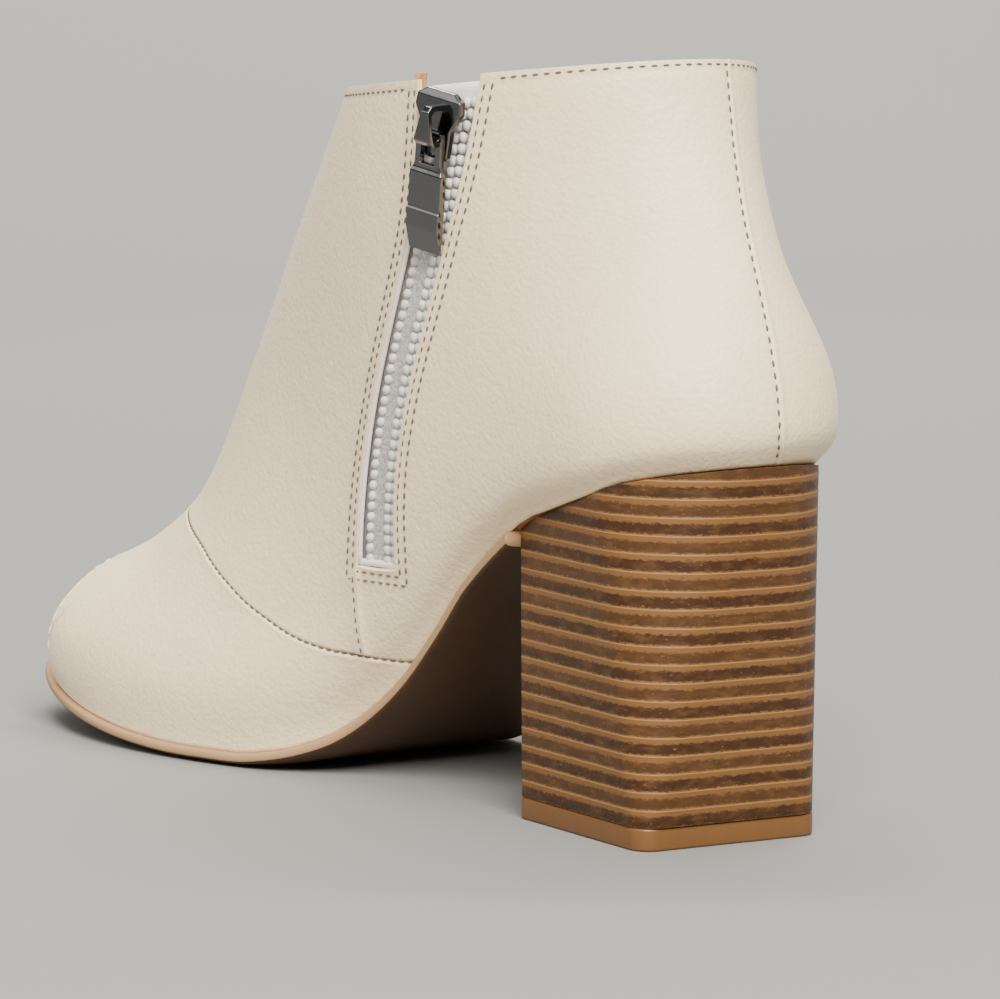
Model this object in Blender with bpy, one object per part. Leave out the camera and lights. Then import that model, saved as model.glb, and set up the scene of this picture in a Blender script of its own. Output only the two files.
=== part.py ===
"""Peep toe ankle bootie with a side zip and a stacked block heel, right shoe.

The floor is z = 0, the toe points along -Y and the inner side with its zip faces +X.
The world origin is the middle of the heel's rest face.
Stations run round each loop of the last: 0 is the toe or the front ridge, 1 is the back seam, and
between 1 and 2 the outer side runs back to the toe. Rises run from the feather line, 0, to the collar, 1.
"""
import math

import bmesh
import bpy
from mathutils import Matrix, Vector

# Driving sizes in metres
SHOE_LENGTH = 0.2255
BALL_WIDTH = 0.076
HEEL_HEIGHT = 0.0730
SHAFT_HEIGHT = 0.0755
COLLAR_LENGTH = 0.097
COLLAR_WIDTH = 0.068
COLLAR_SETBACK = 0.0240
COLLAR_SWING = -0.0003
COLLAR_DROP = 0.008
COLLAR_DIP = 0.0011
WALL = 0.0018
SOLE_THICKNESS = 0.003
SOLE_LEDGE = 0.0012
SOLE_EDGE_ROUND = 0.0009
SOLE_EDGE_START = 0.85
TOE_SPRING = 0.0098
INSOLE_THICKNESS = 0.0025
INSOLE_CLEARANCE = 0.0006
GAP = 0.0003

# Heel block, in metres and degrees
BLOCK_DEPTH = 0.0425
BLOCK_WIDTH = 0.0415
BLOCK_YAW = 5.8
BLOCK_CORNER = 0.004
BLOCK_FRONT_CORNER = 0.0012
SEAT_WIDTH = 0.0515
SEAT_FRONT_WIDTH = 0.0443
SEAT_CORNER = 0.0225
SEAT_OVERHANG = 0.0078
SEAT_SPARE = 0.003
SEAT_REACH = 0.056
TIP_THICKNESS = 0.0044
TIP_BEVEL = 0.0004
HEEL_SETBACK = 0.0318

# Peep toe: an upright drum that leans and is turned with the toe cuts it off, in metres and degrees
PEEP_SETBACK = 0.018
PEEP_RADIUS = 0.070
PEEP_LEAN = -18.0
PEEP_TURN = 8.0
PEEP_REACH = 0.060
PEEP_SIDES = 96

# Zip in the side view, in metres; its line sways by the bow to either side
ZIP_FOOT_SETBACK = 0.0940
ZIP_FOOT_HEIGHT = 0.0455
ZIP_HEAD_SETBACK = 0.0620
ZIP_BOW = 0.0022
SLOT_WIDTH = 0.0112
SLOT_HEAD_WIDTH = 0.0162
SLOT_FLARE_START = 0.70
TAPE_MARGIN = 0.003
TAPE_THICKNESS = 0.0007
TAPE_TAIL = 0.0015
TEETH_WIDTH = 0.0060
TEETH_WAIST = 0.0048
TEETH_THICKNESS = 0.0014
TEETH_PITCH = 0.0024
TEETH_START = 0.008
ZIP_HEAD_SPACE = 0.0015

# Slider and pull, in metres, and the angle in degrees by which the hanging pull leans to the shoe
SLIDER_LENGTH = 0.0135
SLIDER_WIDTH = 0.0100
SLIDER_TAIL_WIDTH = 0.0070
SLIDER_THICKNESS = 0.0016
SLIDER_DROP = 0.0095
SLIDER_STANDOFF = 0.0006
CROWN_LENGTH = 0.0078
CROWN_WIDTH = 0.0026
CROWN_HEIGHT = 0.0036
CROWN_BAND = 0.0010
PULL_THICKNESS = 0.0014
PULL_LENGTH = 0.0240
PULL_WIDTH = 0.0084
PULL_FRAME_LENGTH = 0.0085
PULL_FRAME_WIDTH = 0.0066
PULL_RAIL = 0.0014
PULL_REST = 3.0
METAL_BEVEL = 0.00025

# How finely the loops are divided, and how much closer the rows lie near the feather line
AROUND = 72
UP = 20
CROWDING = 1.2
SOLE_RINGS = (0.0, 0.5, 0.9, 1.0)
HEEL_LEVELS = 5
CORNER_STEPS = 10
TAPE_STEPS = 24
SLOT_STEPS = 12
SEAT_STEPS = 36
WELD = 0.00001

# Steps along stations and rises that slopes are read from, and how often a search is bettered
SLOPE_STEP = 0.004
SEARCH_STEP = 0.001
SEARCHES = 14

FLOOR_TO_FEATHER = SOLE_THICKNESS + GAP
TOE_FEATHER = SHOE_LENGTH - SOLE_LEDGE
COLLAR_BACK_HEIGHT = HEEL_HEIGHT + SHAFT_HEIGHT

# Underside of the upper along the shoe:
# share of the shoe length from the back, share of the heel's rise, share of the toe spring
PROFILE = (
    (0.000, 1.010, 0.00),
    (0.080, 0.957, 0.00),
    (0.133, 0.900, 0.00),
    (0.177, 0.855, 0.00),
    (0.230, 0.797, 0.00),
    (0.320, 0.604, 0.00),
    (0.370, 0.445, 0.00),
    (0.430, 0.262, 0.00),
    (0.500, 0.094, 0.00),
    (0.540, 0.035, 0.00),
    (0.580, 0.006, 0.00),
    (0.603, 0.000, 0.00),
    (0.662, 0.000, 0.00),
    (0.710, 0.000, 0.05),
    (0.770, 0.000, 0.18),
    (0.850, 0.000, 0.44),
    (0.930, 0.000, 0.73),
    (1.000, 0.000, 1.00),
)

# Middle line of the foot seen from above: share of the shoe length, share of half the ball width
SWING = (
    (0.00, 0.020),
    (0.12, -0.015),
    (0.27, -0.090),
    (0.40, -0.170),
    (0.47, -0.190),
    (0.53, -0.165),
    (0.60, -0.105),
    (0.67, -0.055),
    (0.80, 0.030),
    (0.91, 0.130),
    (1.00, 0.210),
)

# Loops of the last, as shares of half the ball width, and of half the collar's width in the last column;
# a loop is an ellipse where its column is level: station, feather, bulge, low, ankle, collar
WIDTHS = (
    (0.00, 1.30, 1.31, 0.96, 0.84, 1.00),
    (0.15, 1.17, 1.21, 0.94, 0.82, 1.00),
    (0.30, 1.16, 1.18, 0.99, 0.82, 1.00),
    (0.45, 0.905, 0.955, 0.86, 0.83, 1.00),
    (0.52, 0.67, 0.78, 0.81, 0.85, 1.00),
    (0.60, 0.65, 0.78, 0.83, 0.86, 1.00),
    (0.70, 0.80, 0.95, 0.97, 0.88, 1.00),
    (0.85, 1.23, 1.37, 1.33, 0.90, 0.97),
    (1.00, 1.37, 1.47, 1.38, 0.80, 0.90),
)
WIDTH_RISES = (0.0, 0.09, 0.25, 0.55, 1.0)

# Front ridge from the toe to the collar:
# rise, share of the way from the collar to the toe, share of the height from the toe to the collar
RIDGE = (
    (0.00, 1.000, 0.000),
    (0.04, 1.020, 0.040),
    (0.10, 0.994, 0.102),
    (0.18, 0.897, 0.160),
    (0.30, 0.721, 0.229),
    (0.42, 0.568, 0.326),
    (0.60, 0.398, 0.545),
    (0.80, 0.207, 0.782),
    (1.00, 0.000, 1.000),
)

# Back seam from the seat to the collar:
# rise, share of the way from the seat to the collar, share of the shaft's height
BACK = (
    (0.00, 0.00, 0.000),
    (0.07, -0.18, 0.060),
    (0.14, -0.21, 0.130),
    (0.25, -0.10, 0.250),
    (0.40, 0.13, 0.400),
    (0.60, 0.47, 0.596),
    (0.80, 0.79, 0.797),
    (1.00, 1.00, 1.000),
)
BACK_FEATHER_SHARE = 0.0165


def steepness(rows, column, spot, level_ends):
    """Slope of a table's column at one of its rows."""
    last = len(rows) - 1
    if level_ends and spot in (0, last):
        return 0.0
    low = max(spot - 1, 0)
    high = min(spot + 1, last)
    return (rows[high][column] - rows[low][column]) / (rows[high][0] - rows[low][0])


def blend(rows, column, at, level_ends=False):
    """Smooth curve through one column of a table whose first column rises."""
    spot = 0
    while spot < len(rows) - 2 and at > rows[spot + 1][0]:
        spot += 1
    start, end = rows[spot], rows[spot + 1]
    span = end[0] - start[0]
    share = (at - start[0]) / span
    out_slope = steepness(rows, column, spot, level_ends) * span
    in_slope = steepness(rows, column, spot + 1, level_ends) * span
    square, cube = share ** 2, share ** 3
    return ((2 * cube - 3 * square + 1) * start[column]
            + (cube - 2 * square + share) * out_slope
            + (3 * square - 2 * cube) * end[column]
            + (cube - square) * in_slope)


def feather_height(setback):
    """Height of the upper's lower edge at a distance from the back of the shoe."""
    share = setback / SHOE_LENGTH
    rise = max(blend(PROFILE, 1, share), 0.0) * (HEEL_HEIGHT - FLOOR_TO_FEATHER)
    spring = max(blend(PROFILE, 2, share), 0.0) * TOE_SPRING
    return FLOOR_TO_FEATHER + rise + spring


def slant(setback):
    """How much longer a slab is upright than square to the slope of the feather line."""
    reach = SHOE_LENGTH / 200
    slope = (feather_height(setback + reach) - feather_height(setback - reach)) / (2 * reach)
    return math.hypot(1.0, slope)


def collar_height(setback):
    """Height of the collar at a distance from the back of the shoe."""
    share = (setback - COLLAR_SETBACK) / COLLAR_LENGTH
    return COLLAR_BACK_HEIGHT - COLLAR_DROP * share - 4 * COLLAR_DIP * share * (1 - share)


def side_of(around):
    """Station between toe and back, and the side, 1 for the inner one."""
    turn = around % 2.0
    return (turn, 1) if turn <= 1.0 else (2.0 - turn, -1)


def side_view(station, rise):
    """Setback and height of a point of the last, blended from its four border lines."""
    back_share = (1 - math.cos(math.pi * station)) / 2
    front_share = 1 - back_share
    heel = SHOE_LENGTH * BACK_FEATHER_SHARE
    collar_front = COLLAR_SETBACK + COLLAR_LENGTH
    toe = Vector((TOE_FEATHER, feather_height(TOE_FEATHER)))
    seat = Vector((heel, feather_height(heel)))
    front = Vector((collar_front, collar_height(collar_front)))
    back = Vector((COLLAR_SETBACK, collar_height(COLLAR_SETBACK)))
    low = heel * back_share + TOE_FEATHER * front_share
    high = COLLAR_SETBACK * back_share + collar_front * front_share
    feather = Vector((low, feather_height(low)))
    collar = Vector((high, collar_height(high)))
    ridge = Vector((front.x + blend(RIDGE, 1, rise) * (toe.x - front.x),
                    toe.y + blend(RIDGE, 2, rise) * (front.y - toe.y)))
    seam = Vector((seat.x + blend(BACK, 1, rise) * (back.x - seat.x),
                   seat.y + blend(BACK, 2, rise) * (back.y - seat.y)))
    across = feather * (1 - rise) + collar * rise
    along = ridge * front_share + seam * back_share
    shared = ((toe * front_share + seat * back_share) * (1 - rise)
              + (front * front_share + back * back_share) * rise)
    return across + along - shared


def half_width(station, rise):
    """Half the width of the loop at a rise, before the loop's own roundness."""
    half = BALL_WIDTH / 2
    columns = [half * blend(WIDTHS, column, station, True) for column in range(1, 5)]
    columns.append(COLLAR_WIDTH / 2 * blend(WIDTHS, 5, station, True))
    return blend(tuple(zip(WIDTH_RISES, columns)), 1, rise)


def last_point(around, rise):
    """Point of the upper's outer face."""
    station, side = side_of(around)
    setback, height = side_view(station, rise)
    straightening = 1 - rise * rise * (3 - 2 * rise)
    middle = blend(SWING, 1, setback / SHOE_LENGTH) * BALL_WIDTH / 2 * straightening
    middle += COLLAR_SWING * (1 - straightening)
    across = math.sin(math.pi * station) * half_width(station, rise)
    return Vector((middle + side * across, HEEL_SETBACK - setback, height))


def last_normal(around, rise):
    """Outward direction of the upper's outer face."""
    low = max(rise - SLOPE_STEP, 0.0)
    high = min(rise + SLOPE_STEP, 1.0)
    around_way = last_point(around + SLOPE_STEP, rise) - last_point(around - SLOPE_STEP, rise)
    up_way = last_point(around, high) - last_point(around, low)
    return around_way.cross(up_way).normalized()


def middle_of(around):
    """Point of the foot's middle line beside a station of the feather line."""
    station, _ = side_of(around)
    setback, _ = side_view(station, 0.0)
    return Vector((blend(SWING, 1, setback / SHOE_LENGTH) * BALL_WIDTH / 2, HEEL_SETBACK - setback, 0.0))


def outline(around, grow):
    """Point of the feather line seen from above, moved out by a distance."""
    way = last_point(around + SLOPE_STEP, 0.0) - last_point(around - SLOPE_STEP, 0.0)
    outward = Vector((way.y, -way.x, 0.0)).normalized()
    point = last_point(around, 0.0)
    return Vector((point.x, point.y, 0.0)) + outward * grow


def on_feather(point):
    """The same point at the height of the feather line."""
    return Vector((point.x, point.y, feather_height(HEEL_SETBACK - point.y)))


def material(name, colour, roughness, metallic=0.0):
    """Plain Principled material in the photo's colour."""
    made = bpy.data.materials.new(name)
    made.use_nodes = True
    shader = made.node_tree.nodes["Principled BSDF"]
    shader.inputs["Base Color"].default_value = (*colour, 1.0)
    shader.inputs["Roughness"].default_value = roughness
    shader.inputs["Metallic"].default_value = metallic
    made.diffuse_color = (*colour, 1.0)
    return made


def new_object(name, mesh, finish=None):
    """Object from a bmesh, with its faces turned outward."""
    bmesh.ops.recalc_face_normals(mesh, faces=mesh.faces)
    data = bpy.data.meshes.new(name)
    mesh.to_mesh(data)
    mesh.free()
    made = bpy.data.objects.new(name, data)
    bpy.context.scene.collection.objects.link(made)
    if finish:
        data.materials.append(finish)
    return made


def sheet(around, up, place):
    """Grid of faces whose corners a function places, with edges that meet welded."""
    mesh = bmesh.new()
    bmesh.ops.create_grid(mesh, x_segments=around, y_segments=up, size=0.5)
    for vertex in mesh.verts:
        vertex.co = place(vertex.co.x + 0.5, vertex.co.y + 0.5)
    bmesh.ops.remove_doubles(mesh, verts=mesh.verts, dist=WELD)
    bmesh.ops.dissolve_degenerate(mesh, edges=mesh.edges, dist=WELD / 10)
    return mesh


def loft(rings):
    """Closed skin through rings of points, with a face at each end."""
    mesh = bmesh.new()
    loops = [[mesh.verts.new(point) for point in ring] for ring in rings]
    for low, high in zip(loops, loops[1:]):
        for spot in range(len(low)):
            after = (spot + 1) % len(low)
            mesh.faces.new((low[spot], low[after], high[after], high[spot]))
    mesh.faces.new(list(reversed(loops[0])))
    mesh.faces.new(loops[-1])
    return mesh


def prism(profile, along):
    """Solid made by extruding a flat outline."""
    mesh = bmesh.new()
    face = mesh.faces.new([mesh.verts.new(point) for point in profile])
    moved = bmesh.ops.extrude_face_region(mesh, geom=[face])
    corners = [item for item in moved["geom"] if isinstance(item, bmesh.types.BMVert)]
    bmesh.ops.translate(mesh, vec=along, verts=corners)
    return mesh


def cut(target, mesh, name, operation="DIFFERENCE"):
    """Boolean on an object, with its cutter kept out of renders."""
    cutter = new_object(name, mesh)
    cutter.display_type = "WIRE"
    cutter.hide_render = True
    modifier = target.modifiers.new(name, "BOOLEAN")
    modifier.operation = operation
    modifier.solver = "EXACT"
    modifier.object = cutter


def soften(target, width, segments=1):
    """Small bevel on the sharp edges."""
    modifier = target.modifiers.new("soft edges", "BEVEL")
    modifier.width = width
    modifier.segments = segments
    modifier.limit_method = "ANGLE"
    modifier.angle_limit = math.radians(40)


def make_upper():
    """Hollow shell of the upper, cut open at the toe and along the zip."""
    last_row = 2 * UP + 2

    def place(turn, across):
        around = 2.0 * turn
        row = round(across * last_row)
        if row == UP + 1:
            rim = (last_point(around, 1.0) + wall_point(around, 1.0)) / 2
            return rim + Vector((0.0, 0.0, WALL / 4))
        if row <= UP:
            return last_point(around, (row / UP) ** CROWDING)
        if row == last_row:
            return last_point(around, 0.0)
        return wall_point(around, ((last_row - 1 - row) / UP) ** CROWDING)

    leather = material("cream leather", (0.78, 0.70, 0.58), 0.45)
    upper = new_object("upper", sheet(AROUND, last_row, place), leather)
    cut(upper, peep_cutter(), "peep toe cutter")
    cut(upper, slot_cutter(), "zip slot cutter")


def wall_point(around, rise, depth=WALL):
    """Point at a depth behind the upper's outer face."""
    if rise == 0.0:
        return on_feather(outline(around, -depth))
    return last_point(around, rise) - last_normal(around, rise) * depth


def peep_cutter():
    """Leaning drum that opens the toe."""
    toe = last_point(0.0, 0.0)
    place = Matrix.Rotation(math.radians(PEEP_TURN), 4, "Z")
    place.translation = toe
    lean = Matrix.Rotation(-math.radians(PEEP_LEAN), 4, "X")
    middle = Matrix.Translation((0.0, PEEP_SETBACK - PEEP_RADIUS, 0.0))
    drum = bmesh.new()
    bmesh.ops.create_cone(drum, cap_ends=True, segments=PEEP_SIDES, radius1=PEEP_RADIUS,
                          radius2=PEEP_RADIUS, depth=2 * PEEP_REACH)
    bmesh.ops.transform(drum, matrix=place @ middle @ lean, verts=drum.verts)
    return drum


def zip_line(share):
    """Setback and height of the zip's middle line, from its foot, 0, to the collar, 1."""
    head = collar_height(ZIP_HEAD_SETBACK)
    bow = ZIP_BOW * math.sin(2 * math.pi * share)
    return (ZIP_FOOT_SETBACK + share * (ZIP_HEAD_SETBACK - ZIP_FOOT_SETBACK) + bow,
            ZIP_FOOT_HEIGHT + share * (head - ZIP_FOOT_HEIGHT))


def zip_spot(share, across):
    """Setback and height beside the zip's middle line, following the collar near the top."""
    setback, height = zip_line(share)
    bend = collar_height(setback + across) - collar_height(setback)
    return setback + across, height + bend * share


def zip_length():
    """Length of the zip's middle line in the side view."""
    foot, head = Vector(zip_line(0.0)), Vector(zip_line(1.0))
    return (head - foot).length


def slot_half(share):
    """Half the width of the slot, which opens towards the collar."""
    flare = max(share - SLOT_FLARE_START, 0.0) / (1 - SLOT_FLARE_START)
    return (SLOT_WIDTH + flare * (SLOT_HEAD_WIDTH - SLOT_WIDTH)) / 2


def slot_cutter():
    """Upright prism through the inner wall in the shape of the zip's slot."""
    shares = [step / SLOT_STEPS for step in range(SLOT_STEPS + 1)] + [1.1]
    front = [zip_spot(share, slot_half(share)) for share in shares]
    back = [zip_spot(share, -slot_half(share)) for share in shares]
    start = BALL_WIDTH / 8
    profile = [Vector((start, HEEL_SETBACK - setback, height)) for setback, height in front + back[::-1]]
    return prism(profile, Vector((BALL_WIDTH, 0.0, 0.0)))


def find_on_side(setback, height):
    """Station and rise of the inner side's point with this setback and height."""
    station = 0.55
    low = feather_height(setback)
    rise = (height - low) / (collar_height(setback) - low)
    step = SEARCH_STEP
    goal = Vector((setback, height))
    for _ in range(SEARCHES):
        here = side_view(station, rise)
        by_station = (side_view(station + step, rise) - here) / step
        by_rise = (side_view(station, rise + step) - here) / step
        miss = goal - here
        area = by_station.x * by_rise.y - by_station.y * by_rise.x
        station += (miss.x * by_rise.y - miss.y * by_rise.x) / area
        rise += (by_station.x * miss.y - by_station.y * miss.x) / area
    return station, rise


def inner_side(setback, height, out):
    """Point at a distance outside the inner wall, by its place in the side view."""
    station, rise = find_on_side(setback, height)
    return last_point(station, rise) + last_normal(station, min(rise, 0.995)) * out


def zip_strip(name, finish, ends, steps, half, outs):
    """Strip that follows the zip, from a width and two distances outside the wall."""
    rings = []
    for step in range(steps + 1):
        share = ends[0] + (ends[1] - ends[0]) * step / steps
        width = half(share)
        spread = [-width, -width / 3, width / 3, width]
        below = [inner_side(*zip_spot(share, across), outs[0]) for across in spread]
        above = [inner_side(*zip_spot(share, across), outs[1]) for across in reversed(spread)]
        rings.append(below + above)
    return new_object(name, loft(rings), finish)


def make_zip():
    """Tape behind the slot and the closed coil on it."""
    length = zip_length()
    tape_out = -(WALL + GAP)
    tape = material("white tape", (0.80, 0.79, 0.75), 0.8)
    top = 1 - ZIP_HEAD_SPACE / length
    foot = -TAPE_TAIL / length
    zip_strip("zip_tape", tape, (foot, top), TAPE_STEPS, lambda share: slot_half(share) + TAPE_MARGIN,
              (tape_out - TAPE_THICKNESS, tape_out))
    coil = material("grey coil", (0.62, 0.62, 0.60), 0.4)
    teeth_out = tape_out + GAP
    turns = round(length / TEETH_PITCH)

    def rib(share):
        ridge = round((share - TEETH_START) / (top - TEETH_START) * 2 * turns) % 2
        return (TEETH_WAIST if ridge else TEETH_WIDTH) / 2

    zip_strip("zip_teeth", coil, (TEETH_START, top), 2 * turns, rib, (teeth_out, teeth_out + TEETH_THICKNESS))


def slider_frame():
    """Place of the slider: X across the zip toward the heel, Y up the zip, Z out of the shoe."""
    share = 1 - SLIDER_DROP / zip_length()
    reach = SLIDER_LENGTH / 2 / zip_length()
    middle = inner_side(*zip_line(share), 0.0)
    up = (inner_side(*zip_line(share + reach), 0.0) - inner_side(*zip_line(share - reach), 0.0)).normalized()
    station, rise = find_on_side(*zip_line(share))
    out = last_normal(station, rise)
    across = up.cross(out).normalized()
    out = across.cross(up)
    turn = Matrix((across, up, out)).transposed().to_4x4()
    return Matrix.Translation(middle + out * SLIDER_STANDOFF) @ turn


def cells(columns, rows, empty, thickness):
    """Flat plate of cells, some of them empty, extruded to a thickness."""
    mesh = bmesh.new()
    grid = [[mesh.verts.new((share * width, height, 0.0)) for share in columns] for height, width in rows]
    faces = []
    for row in range(len(rows) - 1):
        for column in range(len(columns) - 1):
            if (row, column) in empty:
                continue
            corners = (grid[row][column], grid[row][column + 1], grid[row + 1][column + 1], grid[row + 1][column])
            faces.append(mesh.faces.new(corners))
    moved = bmesh.ops.extrude_face_region(mesh, geom=faces)
    corners = [item for item in moved["geom"] if isinstance(item, bmesh.types.BMVert)]
    bmesh.ops.translate(mesh, vec=(0.0, 0.0, thickness), verts=corners)
    return mesh


def make_slider(chrome):
    """Slider body with its crown, an arch that holds the pull."""
    half = SLIDER_LENGTH / 2
    tail = SLIDER_TAIL_WIDTH / 2
    wide = SLIDER_WIDTH / 2
    rows = ((-half, tail), (-half * 0.1, tail * 1.08), (half * 0.45, wide), (half * 0.85, wide), (half, wide * 0.62))
    body = new_object("zip_slider", cells((-1.0, 0.0, 1.0), rows, (), SLIDER_THICKNESS), chrome)
    inner = CROWN_LENGTH / 2 - CROWN_BAND
    outer = CROWN_LENGTH / 2
    top = SLIDER_THICKNESS + CROWN_HEIGHT
    foot = SLIDER_THICKNESS / 2
    profile = ((-outer, foot), (-outer, top * 0.8), (-inner, top), (inner, top), (outer, top * 0.8), (outer, foot),
               (inner, foot), (inner, top * 0.8 - CROWN_BAND), (inner * 0.7, top - CROWN_BAND),
               (-inner * 0.7, top - CROWN_BAND), (-inner, top * 0.8 - CROWN_BAND), (-inner, foot))
    arch = prism([Vector((-CROWN_WIDTH / 2, y, z)) for y, z in profile], Vector((CROWN_WIDTH, 0.0, 0.0)))
    frame = slider_frame()
    body.matrix_world = frame
    bmesh.ops.transform(arch, matrix=frame, verts=arch.verts)
    cut(body, arch, "crown arch", "UNION")
    soften(body, METAL_BEVEL)


def make_pull(chrome):
    """Pull tab that hangs from the crown, with its origin on the bar it turns on."""
    bar = PULL_THICKNESS
    frame_half = PULL_FRAME_WIDTH / 2
    full = PULL_WIDTH / 2
    window = (PULL_FRAME_WIDTH - 2 * PULL_RAIL) / PULL_FRAME_WIDTH
    rows = ((bar / 2, frame_half), (-bar / 2, frame_half), (-PULL_FRAME_LENGTH + 2 * bar, frame_half),
            (-PULL_FRAME_LENGTH, full), (bar / 2 - PULL_LENGTH, full))
    mesh = cells((-1.0, -window, window, 1.0), rows, ((1, 1),), PULL_THICKNESS)
    bmesh.ops.translate(mesh, vec=(0.0, 0.0, -PULL_THICKNESS / 2), verts=mesh.verts)
    pull = new_object("zip_pull", mesh, chrome)
    pivot = Vector((0.0, CROWN_BAND + bar / 2 - CROWN_LENGTH / 2 + GAP, SLIDER_THICKNESS + GAP + bar / 2))
    lean = Matrix.Rotation(math.radians(PULL_REST), 4, "X")
    pull.matrix_world = slider_frame() @ Matrix.Translation(pivot) @ lean
    soften(pull, METAL_BEVEL)


def pad(name, finish, grow, bottom, top, rings=SOLE_RINGS):
    """Board with the foot's outline between two heights that follow the feather line."""
    count = len(rings)
    last_row = 2 * count - 1

    def place(turn, across):
        around = 2.0 * turn
        row = round(across * last_row)
        share = rings[row] if row < count else rings[last_row - row]
        middle = middle_of(around)
        point = middle + (outline(around, grow) - middle) * share
        height = top if row < count else bottom
        return Vector((point.x, point.y, height(HEEL_SETBACK - point.y, share)))

    return new_object(name, sheet(AROUND, last_row, place), finish)


def make_insole():
    """Sock board inside the upper, on the sole and the heel."""
    lining = material("tan lining", (0.60, 0.33, 0.15), 0.6)
    pad("insole", lining, -(WALL + INSOLE_CLEARANCE),
        lambda setback, share: feather_height(setback),
        lambda setback, share: feather_height(setback) + INSOLE_THICKNESS * slant(setback))


def block_frame():
    """Place of the heel block on the floor: X to the inner side, Y to the back."""
    return Matrix.Rotation(math.radians(-BLOCK_YAW), 4, "Z")


def sole_bottom(setback, share):
    """Underside of the sole, flat on the floor at the ball and lifted at its edge."""
    height = feather_height(setback) - GAP - SOLE_THICKNESS * slant(setback)
    lift = SOLE_EDGE_ROUND * max(share - SOLE_EDGE_START, 0.0) / (1 - SOLE_EDGE_START)
    return max(height, 0.0) + lift


def make_outsole():
    """Thin sole from the toe to the breast of the heel."""
    rubber = material("tan sole", (0.42, 0.25, 0.12), 0.5)
    outsole = pad("outsole", rubber, SOLE_LEDGE, sole_bottom,
                  lambda setback, share: feather_height(setback) - GAP)
    breast = BLOCK_DEPTH / 2 + GAP
    size = SHOE_LENGTH / 2
    behind = bmesh.new()
    bmesh.ops.create_cube(behind, size=2 * size)
    bmesh.ops.translate(behind, vec=(0.0, size - breast, 0.0), verts=behind.verts)
    bmesh.ops.transform(behind, matrix=block_frame(), verts=behind.verts)
    cut(outsole, behind, "breast cutter")


def rounded_quad(half_back, half_front, back, front, back_radius, front_radius):
    """Outline of the heel seen from above, with an arc at each corner."""
    corners = ((half_front, front, front_radius), (half_back, back, back_radius),
               (-half_back, back, back_radius), (-half_front, front, front_radius))
    points = []
    for spot, (x, y, radius) in enumerate(corners):
        corner = Vector((x, y))
        before = (Vector(corners[spot - 1][:2]) - corner).normalized()
        after = (Vector(corners[(spot + 1) % 4][:2]) - corner).normalized()
        half_angle = before.angle(after) / 2
        centre = corner + (before + after).normalized() * radius / math.sin(half_angle)
        start = corner + before * radius / math.tan(half_angle) - centre
        end = corner + after * radius / math.tan(half_angle) - centre
        sweep = start.angle_signed(end)
        for step in range(CORNER_STEPS + 1):
            arm = start.copy()
            arm.rotate(Matrix.Rotation(-sweep * step / CORNER_STEPS, 2))
            points.append(centre + arm)
    return points


def block_outline(share):
    """Outline of the heel block at a share of the heel's height."""
    foot = rounded_quad(BLOCK_WIDTH / 2, BLOCK_WIDTH / 2, BLOCK_DEPTH / 2, -BLOCK_DEPTH / 2,
                        BLOCK_CORNER, BLOCK_FRONT_CORNER)
    seat = rounded_quad(SEAT_WIDTH / 2, SEAT_FRONT_WIDTH / 2, BLOCK_DEPTH / 2 + SEAT_OVERHANG,
                        -BLOCK_DEPTH / 2, SEAT_CORNER, BLOCK_FRONT_CORNER)
    return [low.lerp(high, share) for low, high in zip(foot, seat)]


def heel_ring(height):
    """Ring of the heel block's outline at a height."""
    turn = block_frame()
    return [turn @ Vector((point.x, point.y, height)) for point in block_outline(height / HEEL_HEIGHT)]


def make_heel():
    """Stacked block, cut on top to the slope of the seat."""
    stack = material("stacked heel", (0.36, 0.22, 0.12), 0.5)
    foot = TIP_THICKNESS + GAP
    top = HEEL_HEIGHT + SEAT_SPARE
    heights = [foot + (top - foot) * level / HEEL_LEVELS for level in range(HEEL_LEVELS + 1)]
    heel = new_object("heel", loft([heel_ring(height) for height in heights]), stack)
    start, end = HEEL_SETBACK - SEAT_REACH, HEEL_SETBACK + SEAT_REACH
    seat = []
    for step in range(SEAT_STEPS + 1):
        setback = start + (end - start) * step / SEAT_STEPS
        seat.append(Vector((-BALL_WIDTH, HEEL_SETBACK - setback, feather_height(setback) - GAP)))
    high = COLLAR_BACK_HEIGHT
    lid = [Vector((-BALL_WIDTH, HEEL_SETBACK - end, high)), Vector((-BALL_WIDTH, HEEL_SETBACK - start, high))]
    cut(heel, prism(seat + lid, Vector((2 * BALL_WIDTH, 0.0, 0.0))), "seat cutter")


def make_heel_tip():
    """Top piece under the heel, the face that stands on the floor."""
    tan = material("tan top piece", (0.55, 0.34, 0.16), 0.5)
    turn = block_frame()
    rings = []
    for height in (0.0, TIP_THICKNESS):
        rings.append([turn @ Vector((point.x, point.y, height)) for point in block_outline(0.0)])
    tip = new_object("heel_tip", loft(rings), tan)
    soften(tip, TIP_BEVEL)


def main():
    """Build the whole shoe."""
    for old in list(bpy.data.objects):
        bpy.data.objects.remove(old, do_unlink=True)
    make_upper()
    make_insole()
    make_outsole()
    make_heel()
    make_heel_tip()
    make_zip()
    chrome = material("chrome", (0.75, 0.76, 0.78), 0.15, 1.0)
    make_slider(chrome)
    make_pull(chrome)


main()
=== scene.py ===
"""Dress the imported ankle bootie: leather, lining, stacked heel, sole, zip, stitches and a studio stage."""
import math
from functools import lru_cache

import bmesh
import bpy
from mathutils import Matrix, Vector


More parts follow.
